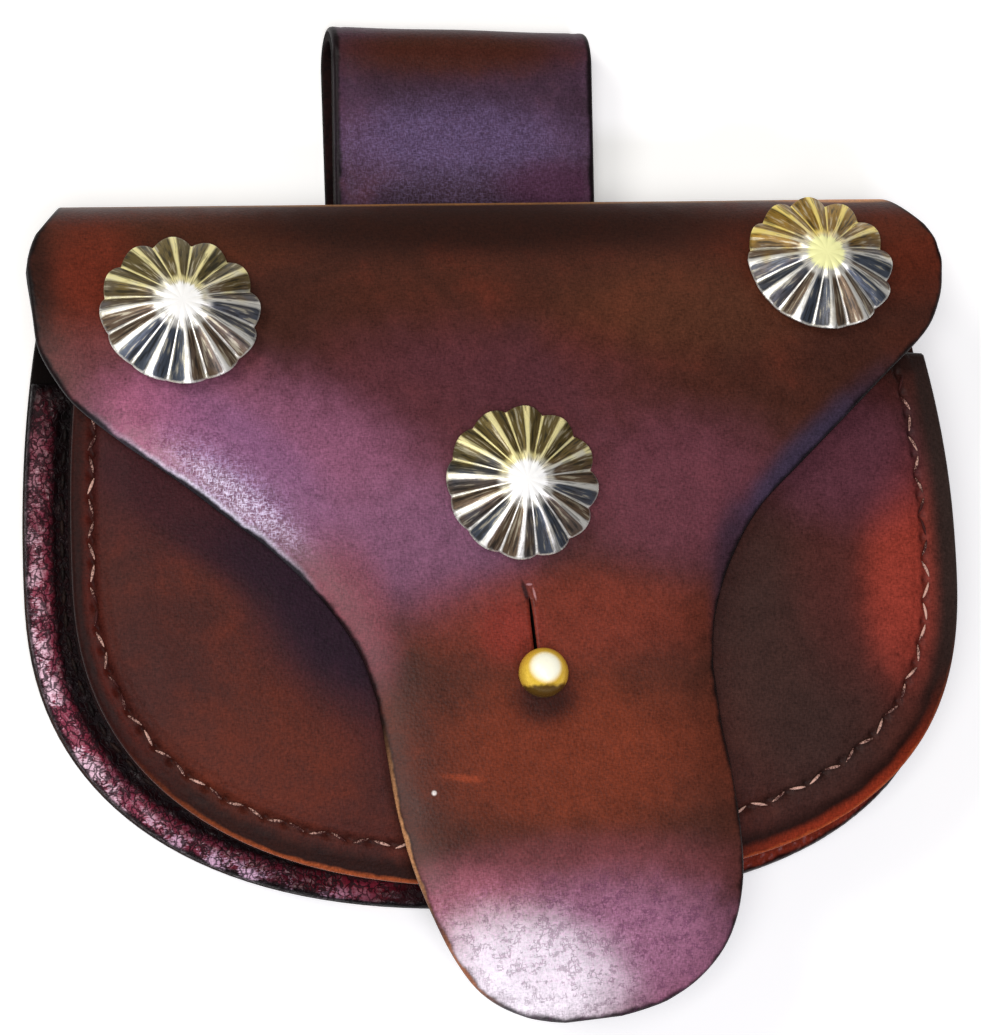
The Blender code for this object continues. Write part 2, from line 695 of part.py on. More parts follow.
def screw_shape():
    """A flat round head whose outer face is at Z = 0."""
    return turned_shape(
        [
            (0.0, 0.0),
            (SCREW_HEAD_RADIUS, 0.0),
            (SCREW_HEAD_RADIUS, -SCREW_HEAD_THICKNESS),
            (0.0, -SCREW_HEAD_THICKNESS),
        ]
    )


def make_conchos(metal, screw_metal, parent):
    """Three fluted studs on the flap, each held by a screw head under the leather."""
    for place in CONCHO_SEATS:
        seat = concho_seat(place)
        concho = place_mesh(f"concho_{place}", concho_shape(), metal, parent)
        concho.matrix_local = seat @ Matrix.Translation((0, 0, HIDE / 2 + STUD_GAP))
        screw = place_mesh(f"concho_screw_{place}", screw_shape(), screw_metal, parent)
        screw.matrix_local = seat @ Matrix.Translation((0, 0, -(HIDE / 2 + STUD_GAP)))


def ball_profile():
    """(radius, height) of the ball stud from its base on the front panel to the top of the ball."""
    flap_top = ball_seat().translation.z + HIDE / 2 - panel_face_height()
    seat_angle = math.asin(STUD_NECK_RADIUS / BALL_RADIUS)
    centre = flap_top + BALL_RADIUS * math.cos(seat_angle)
    profile = [
        (0.0, SEAT_GAP),
        (STUD_BASE_RADIUS, SEAT_GAP),
        (STUD_BASE_RADIUS, SEAT_GAP + STUD_BASE_THICKNESS),
        (STUD_NECK_RADIUS, SEAT_GAP + STUD_BASE_THICKNESS),
    ]
    for step in range(BALL_STEPS + 1):
        angle = lerp(seat_angle, math.pi, step / BALL_STEPS)
        profile.append((max(0.0, BALL_RADIUS * math.sin(angle)), centre - BALL_RADIUS * math.cos(angle)))
    profile[-1] = (0.0, profile[-1][1])
    return profile


def make_stud(metal, screw_metal, parent):
    """The ball stud on the front panel and the screw that holds it from inside the pouch."""
    foot = Matrix.Translation((BALL_SHIFT, -BALL_DROP, panel_face_height()))
    ball = place_mesh("ball_stud", turned_shape(ball_profile()), metal, parent)
    ball.matrix_local = foot
    head = -(PANEL_HIDE + SEAT_GAP)
    screw = place_mesh(
        "stud_screw",
        turned_shape(
            [
                (0.0, 0.0),
                (POST_RADIUS, 0.0),
                (POST_RADIUS, head),
                (SCREW_HEAD_RADIUS, head),
                (SCREW_HEAD_RADIUS, head - SCREW_HEAD_THICKNESS),
                (0.0, head - SCREW_HEAD_THICKNESS),
            ]
        ),
        screw_metal,
        parent,
    )
    screw.matrix_local = foot


def lay_down(parent):
    """Leans the bag back onto its loop and moves the middle of its footprint to the origin."""
    parent.rotation_euler = (loop_slope(), 0.0, 0.0)
    bpy.context.view_layer.update()
    graph = bpy.context.evaluated_depsgraph_get()
    corners = []
    for thing in parent.children:
        if thing.hide_render:
            continue
        solid = thing.evaluated_get(graph)
        corners += [solid.matrix_world @ vertex.co for vertex in solid.data.vertices]
    low = [min(corner[axis] for corner in corners) for axis in range(3)]
    high = [max(corner[axis] for corner in corners) for axis in range(3)]
    parent.location = (-(low[0] + high[0]) / 2, -(low[1] + high[1]) / 2, -low[2])


def main():
    """Builds the bag."""
    clear_scene()
    leather = finish_material("oxblood_leather", LEATHER_COLOUR, roughness=0.35)
    gusset_leather = finish_material("gusset_leather", GUSSET_COLOUR, roughness=0.30)
    loop_leather = finish_material("loop_leather", LOOP_COLOUR, roughness=0.35)
    silver = finish_material("polished_silver", SILVER_COLOUR, roughness=0.15, metallic=1.0)
    brass = finish_material("polished_brass", BRASS_COLOUR, roughness=0.12, metallic=1.0)
    steel = finish_material("plain_steel", STEEL_COLOUR, roughness=0.40, metallic=1.0)
    parent = bpy.data.objects.new("lying_tilt", None)
    bpy.context.scene.collection.objects.link(parent)
    make_back_flap(leather, parent)
    make_front_panel(leather, parent)
    make_gusset(gusset_leather, parent)
    make_belt_loop(loop_leather, parent)
    make_conchos(silver, steel, parent)
    make_stud(brass, steel, parent)
    lay_down(parent)


main()
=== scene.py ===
"""Looks of the leather belt bag: worn hide, stitches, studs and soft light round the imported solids.

Lengths are in metres. Shapes are drawn in the bag's own frame, with X across, Y up towards the belt loop and
Z out of the front, where the top of the fold is at Y = 0 and the rear face of the back panel at Z = 0. They
are then laid down on the floor as the solids are.
"""

import json
import logging
import math
from dataclasses import dataclass, field
from enum import Enum
from typing import Any, Iterable, Optional, Sequence, Union

import bmesh
import bpy
import numpy as np
from mathutils import Matrix, Vector, kdtree, noise

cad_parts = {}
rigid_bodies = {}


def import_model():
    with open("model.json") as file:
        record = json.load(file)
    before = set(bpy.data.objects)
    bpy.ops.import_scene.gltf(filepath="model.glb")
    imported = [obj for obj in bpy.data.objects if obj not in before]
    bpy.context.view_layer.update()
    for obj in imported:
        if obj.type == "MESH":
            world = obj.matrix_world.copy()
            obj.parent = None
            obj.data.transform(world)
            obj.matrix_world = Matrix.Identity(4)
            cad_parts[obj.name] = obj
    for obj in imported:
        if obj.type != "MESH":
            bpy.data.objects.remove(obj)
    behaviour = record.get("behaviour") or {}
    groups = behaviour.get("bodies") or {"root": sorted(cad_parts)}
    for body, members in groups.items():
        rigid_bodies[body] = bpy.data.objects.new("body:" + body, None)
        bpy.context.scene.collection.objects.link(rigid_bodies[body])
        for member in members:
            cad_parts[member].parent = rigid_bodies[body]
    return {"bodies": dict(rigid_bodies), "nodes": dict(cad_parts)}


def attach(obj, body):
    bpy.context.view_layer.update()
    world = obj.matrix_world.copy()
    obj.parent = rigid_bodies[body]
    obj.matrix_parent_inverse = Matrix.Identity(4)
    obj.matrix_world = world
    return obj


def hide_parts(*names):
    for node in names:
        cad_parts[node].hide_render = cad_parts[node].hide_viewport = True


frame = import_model()

log = logging.getLogger("belt_bag")

Array = np.ndarray
Material = bpy.types.Material
Object = bpy.types.Object
Mesh = bmesh.types.BMesh
Colour = tuple[float, float, float]
BODY = "root"
MERGE_DISTANCE = 1e-6
NOISE_SEED = 7
PAINT_FADE = 0.003
OVAL_RIM, OVAL_CORE = 1.25, 0.15
ANY_HEIGHT = 1000.0
SEAM_POINTS = 900
FLOOR_GAP = 0.0002


def lerp(start: Any, end: Any, share: Any) -> Any:
    """The value that lies a share of the way from start to end."""
    return start + (end - start) * share


def held(share: Any) -> Array:
    """A share held between 0 and 1."""
    return np.clip(share, 0.0, 1.0)


def smooth_step(share: Any) -> Array:
    """A share held between 0 and 1 and eased at both ends."""
    share = held(share)
    return share * share * (3.0 - 2.0 * share)


def srgb(red: float, green: float, blue: float) -> Colour:
    """A colour as it shows on a screen, 0 to 255, turned into the light values that shaders use."""
    shown = [value / 255.0 for value in (red, green, blue)]
    light = [value / 12.92 if value <= 0.04045 else ((value + 0.055) / 1.055) ** 2.4 for value in shown]
    return light[0], light[1], light[2]


def read_profile(profile: Sequence[tuple[float, float]], share: float) -> float:
    """The height that a profile, given as (share, height) pairs, has at a share of the way."""
    return float(np.interp(share, *zip(*profile)))


def add_object(name: str, data: bpy.types.ID) -> Object:
    """Puts a new object into the scene."""
    thing = bpy.data.objects.new(name, data)
    bpy.context.scene.collection.objects.link(thing)
    return thing


@dataclass(frozen=True)
class OutlineRow:
    """One row of the flap's outline: how far down, how far out at each side, and its share of the droop."""

    down: float
    left: float
    right: float
    droop: float


@dataclass(frozen=True)
class Curve:
    """Smooth curves through the columns of a table of outline rows."""

    rows: tuple[OutlineRow, ...]

    def read(self, column: str, positions: Array) -> Array:
        """The value of a column, by its name, at many places on the table's down column."""
        places = np.array([row.down for row in self.rows])
        values = np.array([getattr(row, column) for row in self.rows])
        last = len(self.rows) - 1
        index = np.clip(np.searchsorted(places, positions, side="right") - 1, 0, last - 1)
        low = np.maximum(np.arange(last + 1) - 1, 0)
        high = np.minimum(np.arange(last + 1) + 1, last)
        slopes = (values[high] - values[low]) / (places[high] - places[low])
        span = places[index + 1] - places[index]
        share = (positions - places[index]) / span
        start_weight = 2 * share**3 - 3 * share**2 + 1
        start_pull = (share**3 - 2 * share**2 + share) * span * slopes[index]
        end_pull = (share**3 - share**2) * span * slopes[index + 1]
        return start_weight * values[index] + (1 - start_weight) * values[index + 1] + start_pull + end_pull


TAPER_TABLE = (
    (0.134, 1.012, 1.008, 0.45),
    (0.195, 0.998, 1.026, 0.70),
    (0.244, 0.988, 1.019, 0.90),
    (0.298, 0.955, 0.986, 0.95),
    (0.360, 0.898, 0.912, 0.85),
    (0.441, 0.766, 0.736, 0.70),
    (0.525, 0.602, 0.553, 0.56),
    (0.607, 0.453, 0.375, 0.48),
    (0.689, 0.303, 0.207, 0.44),
    (0.795, 0.158, 0.076, 0.42),
    (0.900, 0.061, 0.000, 0.40),
    (1.000, 0.020, -0.029, 0.36),
)

TONGUE_TABLE = (
    (0.176, 1.014, 0.957, 0.33),
    (0.322, 0.996, 0.982, 0.33),
    (0.493, 0.943, 0.993, 0.33),
    (0.650, 0.850, 0.971, 0.36),
    (0.790, 0.730, 0.880, 0.40),
    (0.890, 0.595, 0.720, 0.26),
    (0.962, 0.390, 0.490, 0.06),
    (1.000, 0.150, 0.190, 0.00),
)

TAPER = Curve(tuple(OutlineRow(*row) for row in TAPER_TABLE))
TONGUE = tuple(OutlineRow(*row) for row in TONGUE_TABLE)


class Place(Enum):
    """The seats of the three fluted studs: across as a share of the ears, down as a share of the taper."""

    LEFT = (-0.698, 0.2156)
    CENTRE = (-0.026, 0.6054)
    RIGHT = (0.7135, 0.2095)


@dataclass(frozen=True)
class BagShape:
    """The bag's sizes and the curves that its solids are drawn from."""

    hide: float = 0.0028
    panel_hide: float = 0.0026
    gusset_hide: float = 0.002
    strap_hide: float = 0.0025
    seat_gap: float = 0.0003
    front_half_width: float = 0.074
    mouth_narrowing: float = 0.0025
    mouth_drop: float = 0.028
    waist_drop: float = 0.062
    front_foot_drop: float = 0.1142
    foot_roundness_left: float = 2.38
    foot_roundness_right: float = 2.66
    flare_roundness: float = 2.2
    front_level: float = 0.028
    mouth_dip: float = 0.0037
    panel_bulge: float = 0.0026
    rim_dip: float = 0.002
    side_stitch_margin: float = 0.0046
    foot_stitch_margin: float = 0.0068
    back_side_margin: float = 0.0053
    back_foot_margin: float = 0.0036
    wall_behind_stitch: float = 0.0022
    fold_narrowing: float = 0.0031
    fold_shift: float = -0.002
    fold_radius: float = 0.0105
    shoulder_radius: float = 0.085
    front_angle: float = math.radians(1.0)
    flap_clearance: float = 0.0017
    flap_length: float = 0.1364
    taper_length: float = 0.0821
    ear_overhang: float = 0.0028
    ear_swelling: float = 1.5
    tongue_half_width: float = 0.028
    edge_droop: float = 0.0034
    edge_sharpness: float = 8.0
    tip_droop: float = 0.004
    tip_run: float = 0.028
    flap_turn: float = math.radians(4.0)
    turn_pivot_drop: float = 0.0528
    turn_run: float = 0.014
    loop_width: float = 0.0455
    loop_rise: float = 0.0337
    loop_foot_drop: float = 0.06
    loop_seam_length: float = 0.026
    loop_stand_off: float = 0.0006
    loop_shift: float = -0.001
    loop_turn: float = math.radians(-1.7)
    concho_radius: float = 0.0127
    concho_height: float = 0.005
    concho_metal: float = 0.001
    flutes: int = 12
    flute_depth: float = 0.0014
    scallop: float = 0.0008
    post_radius: float = 0.002
    stud_gap: float = 0.0005
    ball_radius: float = 0.004
    ball_drop: float = 0.0806
    ball_shift: float = -0.0008
    stud_base_radius: float = 0.0048
    stud_base_thickness: float = 0.001
    stud_neck_radius: float = 0.002
    buttonhole_clearance: float = 0.0008
    slit_length: float = 0.01

    @property
    def fold_half_width(self) -> float:
        """Half the width of the leather at the fold."""
        return self.front_half_width - self.fold_narrowing

    @property
    def ear_half_width(self) -> float:
        """Half the width of the flap at its ears."""
        return self.front_half_width + self.ear_overhang

    @property
    def back_half_width(self) -> float:
        """Half the width of the back panel at its waist."""
        return self.front_half_width + self.back_side_margin

    @property
    def panel_face(self) -> float:
        """Height of the front panel's outer face at its middle."""
        return self.front_level + self.panel_bulge

    def pouch_line(
        self, half_width: float, mouth_half_width: float, foot_drop: float, count: int
    ) -> tuple[Array, Array]:
        """The D-shaped line from the left end of the mouth round the foot to its right end.

        Args:
            half_width: Half the width at the waist.
            mouth_half_width: Half the width at the mouth.
            foot_drop: How far below the fold the foot lies.
            count: How many points the line has.

        Returns:
            The points' X and Y.
        """
        side_length = self.waist_drop - self.mouth_drop
        foot_length = half_width + foot_drop - self.waist_drop
        side_count = int(count * side_length / (2 * side_length + 2 * foot_length))
        share = np.linspace(0.0, 1.0, side_count, endpoint=False)
        side_x = lerp(half_width, mouth_half_width, (1.0 - share) ** self.flare_roundness)
        side_y = -lerp(self.mouth_drop, self.waist_drop, share)
        angle = np.linspace(math.pi, 0.0, count - 2 * side_count)
        turned = angle + 0.06 * np.sin(4 * angle)
        power = 2.0 / np.where(np.cos(turned) > 0, self.foot_roundness_right, self.foot_roundness_left)
        foot_x = np.sign(np.cos(turned)) * np.abs(np.cos(turned)) ** power * half_width
        foot_y = -self.waist_drop - np.abs(np.sin(turned)) ** power * (foot_drop - self.waist_drop)
        x = np.concatenate([-side_x, foot_x, side_x[::-1]])
        y = np.concatenate([side_y, foot_y, side_y[::-1]])
        return x, y

    def front_line(self, side_inset: float, foot_inset: float, count: int) -> tuple[Array, Array]:
        """The front panel's outline, moved in by an inset at the sides and another at the foot."""
        half_width = self.front_half_width - side_inset
        foot_drop = self.front_foot_drop - foot_inset
        return self.pouch_line(half_width, half_width - self.mouth_narrowing, foot_drop, count)

    def back_line(self, count: int) -> tuple[Array, Array]:
        """The part of the back panel's outline that the gusset follows."""
        rise = (self.waist_drop - self.mouth_drop) / self.waist_drop
        mouth = lerp(self.back_half_width, self.fold_half_width, rise**self.flare_roundness)
        foot_drop = self.front_foot_drop + self.back_foot_margin
        return self.pouch_line(self.back_half_width, mouth, foot_drop, count)

    def wall_line(self, count: int) -> tuple[Array, Array]:
        """The line that the gusset's wall follows, inside the stitching."""
        side = self.side_stitch_margin + self.wall_behind_stitch
        foot = self.foot_stitch_margin + self.wall_behind_stitch
        return self.front_line(side, foot, count)

    def front_height(self, drop: Array) -> Array:
        """Height of the front panel's outer face along its stitching, lower towards the mouth."""
        rise = np.maximum(0.0, (self.waist_drop - drop) / (self.waist_drop - self.mouth_drop))
        return self.front_level - self.mouth_dip * rise**2

    def panel_point(self, x: Array, y: Array, inward: float, lift: Any) -> Array:
        """Points of the front panel's outer face.

        Args:
            x: Places across on a line that follows the panel's outline.
            y: Places up on that line.
            inward: How far the line has shrunk towards the middle of the mouth, from 0 to 1.
            lift: Height over the level of the stitching.

        Returns:
            One row per point.
        """
        below = np.minimum(0.0, y + self.waist_drop)
        above = np.maximum(0.0, y + self.waist_drop)
        drawn = -self.waist_drop + above + below * (1.0 - inward)
        return np.stack([x * (1.0 - inward), drawn, self.front_height(-drawn) + lift], axis=-1)

    def rim_lift(self, margins: Any) -> Any:
        """Height over the level of the stitching at a number of stitch margins in from the edge."""
        return np.interp(margins, [0.0, 1.0, 2.0], [-self.rim_dip, 0.0, 0.45 * self.panel_bulge])

    def face_lift(self, inward: Any) -> Any:
        """Height over the level of the stitching from the rim (0) to the middle of the mouth (1)."""
        return np.interp(inward, [0.0, 0.16, 0.36], [0.45, 0.8, 1.0]) * self.panel_bulge

    def fold_point(self, angle: Any) -> tuple[Any, Any]:
        """(Y, Z) of the leather's middle round the fold, from the back panel (0) over the top."""
        middle = self.fold_radius + self.hide / 2
        return -middle + self.fold_radius * np.sin(angle), middle - self.fold_radius * np.cos(angle)

    @property
    def shoulder_angle(self) -> float:
        """How steeply the shoulder starts, so that it levels out a clearance above the front panel."""
        level = self.panel_face + self.flap_clearance + self.hide / 2
        top = self.fold_radius + self.hide / 2 + self.shoulder_radius * math.cos(self.front_angle)
        return math.acos((top - level) / (self.shoulder_radius - self.fold_radius))

    @property
    def fold_end(self) -> float:
        """How far down the flap the fold ends and the shoulder begins."""
        return -float(self.fold_point(math.pi - self.shoulder_angle)[0])

    def cover_height(self, y: Array) -> Array:
        """Height of the flap's middle surface at Y: a round shoulder, then nearly straight down the front."""
        start_y, start_z = self.fold_point(math.pi - self.shoulder_angle)
        start, end, radius = self.shoulder_angle, self.front_angle, self.shoulder_radius
        sine = math.sin(start) - (start_y - y) / radius
        angle = np.arcsin(np.clip(sine, -1.0, 1.0))
        on_shoulder = start_z + radius * (np.cos(angle) - math.cos(start))
        run = radius * (math.sin(start) - math.sin(end))
        climb = radius * (math.cos(end) - math.cos(start))
        below = start_z + climb + (start_y - run - y) * math.tan(end)
        return np.where(sine > math.sin(end), on_shoulder, below)

    def flap_widths(self, drop: Array) -> tuple[Array, Array, Array]:
        """How far the flap reaches to the left and the right, and its droop, at distances down its middle."""
        share = np.clip(drop / self.taper_length, TAPER.rows[0].down, 1.0)
        start = held(drop / (TAPER.rows[0].down * self.taper_length))
        reaches = []
        last = TAPER.rows[-1]
        joints = [
            lerp(self.tongue_half_width, self.ear_half_width, reach) / self.tongue_half_width
            for reach in (last.left, last.right)
        ]
        tongue = Curve((OutlineRow(0.0, joints[0], joints[1], last.droop),) + TONGUE)
        below = held((drop - self.taper_length) / (self.flap_length - self.taper_length))
        for column in ("left", "right"):
            taper = lerp(self.tongue_half_width, self.ear_half_width, TAPER.read(column, share))
            upper = lerp(self.fold_half_width, taper, 1.0 - (1.0 - start) ** self.ear_swelling)
            lower = tongue.read(column, below) * self.tongue_half_width
            reaches.append(np.where(drop <= self.taper_length, upper, lower))
        droop = np.where(drop <= self.taper_length, TAPER.read("droop", share), tongue.read("droop", below))
        return reaches[0], reaches[1], droop

    def flap_point(self, across: Array, drop: Array) -> Array:
        """The flap's middle surface at distances across and down its own middle line."""
        left, right, droop = self.flap_widths(drop)
        side = np.minimum(1.0, np.abs(across) / np.where(across > 0, right, left))
        turned = smooth_step((drop - self.fold_end) / self.turn_run)
        below = drop - self.turn_pivot_drop
        turned_x = across * math.cos(self.flap_turn) + below * math.sin(self.flap_turn)
        turned_y = across * math.sin(self.flap_turn) - below * math.cos(self.flap_turn) - self.turn_pivot_drop
        x = lerp(across + self.fold_shift, turned_x, turned)
        y = lerp(-drop, turned_y, turned)
        tip = np.maximum(0.0, (drop - self.flap_length + self.tip_run) / self.tip_run)
        sag = self.edge_droop * droop * side**self.edge_sharpness * turned + self.tip_droop * tip**2
        return np.stack([x, y, self.cover_height(y) - sag], axis=-1)

    def flap_seat(self, across: float, drop: float, step: float) -> Matrix:
        """A place on the flap's middle surface whose Z axis stands out of the leather."""

        def point(aside: float, down: float) -> Vector:
            """The middle surface a little to the side or down."""
            found = self.flap_point(np.array([across + aside]), np.array([drop + down]))
            return Vector(found[0])

        along_x = point(step, 0.0) - point(-step, 0.0)
        along_y = point(0.0, -step) - point(0.0, step)
        normal = along_x.cross(along_y).normalized()
        along_x = along_y.cross(normal).normalized()
        turn = Matrix((along_x, normal.cross(along_x), normal)).transposed().to_4x4()
        return Matrix.Translation(point(0.0, 0.0)) @ turn

    def concho_seat(self, place: Place) -> Matrix:
        """The middle of the leather under a fluted stud."""
        across, down = place.value
        return self.flap_seat(across * self.ear_half_width, down * self.taper_length, self.concho_radius)

    @property
    def ball_place(self) -> tuple[float, float]:
        """Where the ball stud comes through the flap: across and down the flap's middle line."""
        below = self.ball_drop - self.turn_pivot_drop
        across = self.ball_shift * math.cos(self.flap_turn) - below * math.sin(self.flap_turn)
        down = below * math.cos(self.flap_turn) + self.ball_shift * math.sin(self.flap_turn)
        return across, self.turn_pivot_drop + down

    @property
    def buttonhole_radius(self) -> float:
        """Radius of the hole for the ball stud's neck."""
        return self.stud_neck_radius + self.buttonhole_clearance

    @property
    def loop_slope(self) -> float:
        """Angle between the loop's rear leg and the back panel, which is how far the bag leans back."""
        stack = 2 * (self.seat_gap + self.strap_hide)
        return math.atan2(stack, self.front_foot_drop + self.back_foot_margin - self.loop_foot_drop)

    @property
    def loop_normal(self) -> Vector:
        """Which way the front of the belt loop's rear leg faces."""
        return Vector((0.0, math.sin(self.loop_slope), math.cos(self.loop_slope)))

    @property
    def loop_rotation(self) -> Matrix:
        """The belt loop's small turn round the normal of its rear leg."""
        return Matrix.Rotation(self.loop_turn, 3, self.loop_normal)

    def loop_line(self, steps: int) -> Array:
        """(Y, Z) of the belt strap's middle: up behind the back panel, over the top and down the rear leg."""
        slope = self.loop_slope
        sewn_z = -(self.seat_gap + self.strap_hide / 2)
        rear_z = sewn_z - self.seat_gap - self.strap_hide
        front_z = sewn_z - self.loop_stand_off
        top = self.loop_rise - self.strap_hide / 2
        opening = front_z - rear_z + (self.loop_foot_drop + top) * math.tan(slope)
        radius = opening / (1 + 1 / math.cos(slope) + math.tan(slope))
        centre_y, centre_z = top - radius, front_z - radius
        angles = np.linspace(0.0, math.pi + slope, steps)
        arc = np.stack([centre_y + radius * np.sin(angles), centre_z + radius * np.cos(angles)], axis=-1)
        foot = np.array([-self.loop_foot_drop, sewn_z])
        seam = np.array([self.loop_seam_length - self.loop_foot_drop, front_z])
        heel = np.array([-self.loop_foot_drop, rear_z])
        shares = np.linspace(0.0, 1.0, steps, endpoint=False)[:, None]
        rear_leg = lerp(arc[-1], heel, np.linspace(0.0, 1.0, 2 * steps)[:, None])
        return np.concatenate([lerp(foot, seam, shares), lerp(seam, arc[0], shares), arc[:-1], rear_leg])


@dataclass(frozen=True)
class Layout:
    """Where the bag's own frame lies in the row's frame, and how high the fold's middle is."""

    turn: Matrix
    origin: Vector
    fold_height: float

    @classmethod
    def from_stud(cls, shape: BagShape) -> "Layout":
        """Finds the bag's frame from the solid of the ball stud, whose place in it is known."""
        turn = Matrix.Rotation(shape.loop_slope, 3, "X")
        back = turn.transposed()
        points = np.array([back @ vertex.co for vertex in frame["nodes"]["ball_stud"].data.vertices])
        low, high = points.min(axis=0), points.max(axis=0)
        middle_x, middle_y = (low[:2] + high[:2]) / 2
        foot = Vector((shape.ball_shift, -shape.ball_drop, shape.panel_face + shape.seat_gap))
        origin = turn @ (Vector((middle_x, middle_y, low[2])) - foot)
        log.info("bag frame at %s", [round(value, 5) for value in origin])
        return cls(turn, origin, origin.z + shape.fold_radius)

    @property
    def matrix(self) -> Matrix:
        """The bag's frame as a matrix."""
        return Matrix.Translation(self.origin) @ self.turn.to_4x4()

    def place(self, point: Sequence[float]) -> Vector:
        """A point of the bag's frame in the row's frame."""
        return self.matrix @ Vector(point)


class Signal:
    """A number, a colour or a vector inside a material, whose arithmetic adds the nodes it needs."""

    def __init__(self, graph: "Graph", socket: bpy.types.NodeSocket) -> None:
        """Wraps an output socket of a node in a graph."""
        self.graph = graph
        self.socket = socket

    @property
    def is_vector(self) -> bool:
        """Whether arithmetic on this signal goes through Vector Math."""
        return self.socket.type == "VECTOR"

    def __add__(self, other: "Operand") -> "Signal":
        return self.graph.maths("ADD", self, other)

    def __radd__(self, other: "Operand") -> "Signal":
        return self.graph.maths("ADD", other, self)

    def __sub__(self, other: "Operand") -> "Signal":
        return self.graph.maths("SUBTRACT", self, other)

    def __rsub__(self, other: "Operand") -> "Signal":
        return self.graph.maths("SUBTRACT", other, self)

    def __mul__(self, other: "Operand") -> "Signal":
        return self.graph.maths("MULTIPLY", self, other)

    def __rmul__(self, other: "Operand") -> "Signal":
        return self.graph.maths("MULTIPLY", other, self)


Operand = Union[Signal, float, Colour]


class Graph:
    """The nodes of one material."""

    def __init__(self, name: str) -> None:
        """Makes a material with one Principled BSDF and its output."""
        self.material = bpy.data.materials.new(name)
        self.material.use_nodes = True
        self.tree = self.material.node_tree
        self.shader = self.tree.nodes["Principled BSDF"]

    def connect(self, value: Operand, socket: bpy.types.NodeSocket) -> None:
        """Links a signal to a socket, or sets the socket to a number, vector or colour."""
        if isinstance(value, Signal):
            self.tree.links.new(value.socket, socket)
        elif socket.type == "RGBA":
            socket.default_value = (*value, 1.0) if isinstance(value, tuple) else (value, value, value, 1.0)
        elif socket.type == "VECTOR":
            socket.default_value = value if isinstance(value, tuple) else (value, value, value)
        else:
            socket.default_value = value

    def node(
        self,
        kind: str,
        inputs: Optional[dict[Union[int, str], Operand]] = None,
        settings: Optional[dict[str, Any]] = None,
        output: Union[int, str] = 0,
    ) -> Signal:
        """Adds a node.

        Args:
            kind: The node's type.
            inputs: Values or signals by socket name or number.
            settings: Properties that are set before the inputs.
            output: The socket that is returned.

        Returns:
            The chosen output.
        """
        made = self.tree.nodes.new(kind)
        for name, value in (settings or {}).items():
            setattr(made, name, value)
        for key, value in (inputs or {}).items():
            self.connect(value, made.inputs[key])
        return Signal(self, made.outputs[output])

    def maths(self, operation: str, first: Operand, second: Operand) -> Signal:
        """One step of arithmetic on numbers or vectors."""
        vectors = [isinstance(item, tuple) or getattr(item, "is_vector", False) for item in (first, second)]
        kind = "ShaderNodeVectorMath" if any(vectors) else "ShaderNodeMath"
        return self.node(kind, {0: first, 1: second}, {"operation": operation})

    def distance(self, value: Signal, mark: float) -> Signal:
        """How far a number lies from a mark, either way."""
        return self.maths("ABSOLUTE", value - mark, 0.0)

    def mix(self, factor: Operand, first: Operand, second: Operand, blend: str = "MIX") -> Signal:
        """Blends two colours."""
        settings = {"data_type": "RGBA", "blend_type": blend, "clamp_factor": True}
        return self.node("ShaderNodeMix", {0: factor, 6: first, 7: second}, settings, output=2)

    def ramp(self, value: Operand, low: float, high: float) -> Signal:
        """Eases from 0 to 1 while a value goes from low to high."""
        inputs = {"Value": value, "From Min": low, "From Max": high}
        return self.node("ShaderNodeMapRange", inputs, {"interpolation_type": "SMOOTHSTEP"})

    def noise(self, place: Signal, size: float, detail: float = 3.0, distortion: float = 0.0) -> Signal:
        """Soft noise whose blots are about a size across, from 0 to 1."""
        inputs = {"Vector": place, "Scale": 1.0 / size, "Detail": detail, "Distortion": distortion}
        return self.node("ShaderNodeTexNoise", inputs, output="Fac")

    def cells(self, place: Signal, size: float, feature: str = "F1") -> Signal:
        """Distances in a pattern of cells about a size across."""
        inputs = {"Vector": place, "Scale": 1.0 / size}
        return self.node("ShaderNodeTexVoronoi", inputs, {"feature": feature}, output="Distance")

    def above(self, place: Signal, height: float) -> Signal:
        """1 above a height and 0 below it."""
        upright = self.node("ShaderNodeSeparateXYZ", {"Vector": place}, output="Z")
        return self.ramp(upright, height, height + PAINT_FADE)

    def coordinates(self) -> Signal:
        """The object's own coordinates."""
        return self.node("ShaderNodeTexCoord", output="Object")

    def attribute(self, name: str, output: str = "Fac") -> Signal:
        """A number or, from the output named Vector, a direction that the mesh carries at each vertex."""
        return self.node("ShaderNodeAttribute", settings={"attribute_name": name}, output=output)

    def bump(self, height: Operand, distance: float, strength: float) -> Signal:
        """Turns a height into a tilted normal."""
        inputs = {"Height": height, "Distance": distance, "Strength": strength}
        return self.node("ShaderNodeBump", inputs, output="Normal")

    def finish(self, **values: Operand) -> Material:
        """Sets the shader's sockets, named with underscores, and returns the material."""
        for name, value in values.items():
            self.connect(value, self.shader.inputs[name.replace("_", " ")])
        return self.material


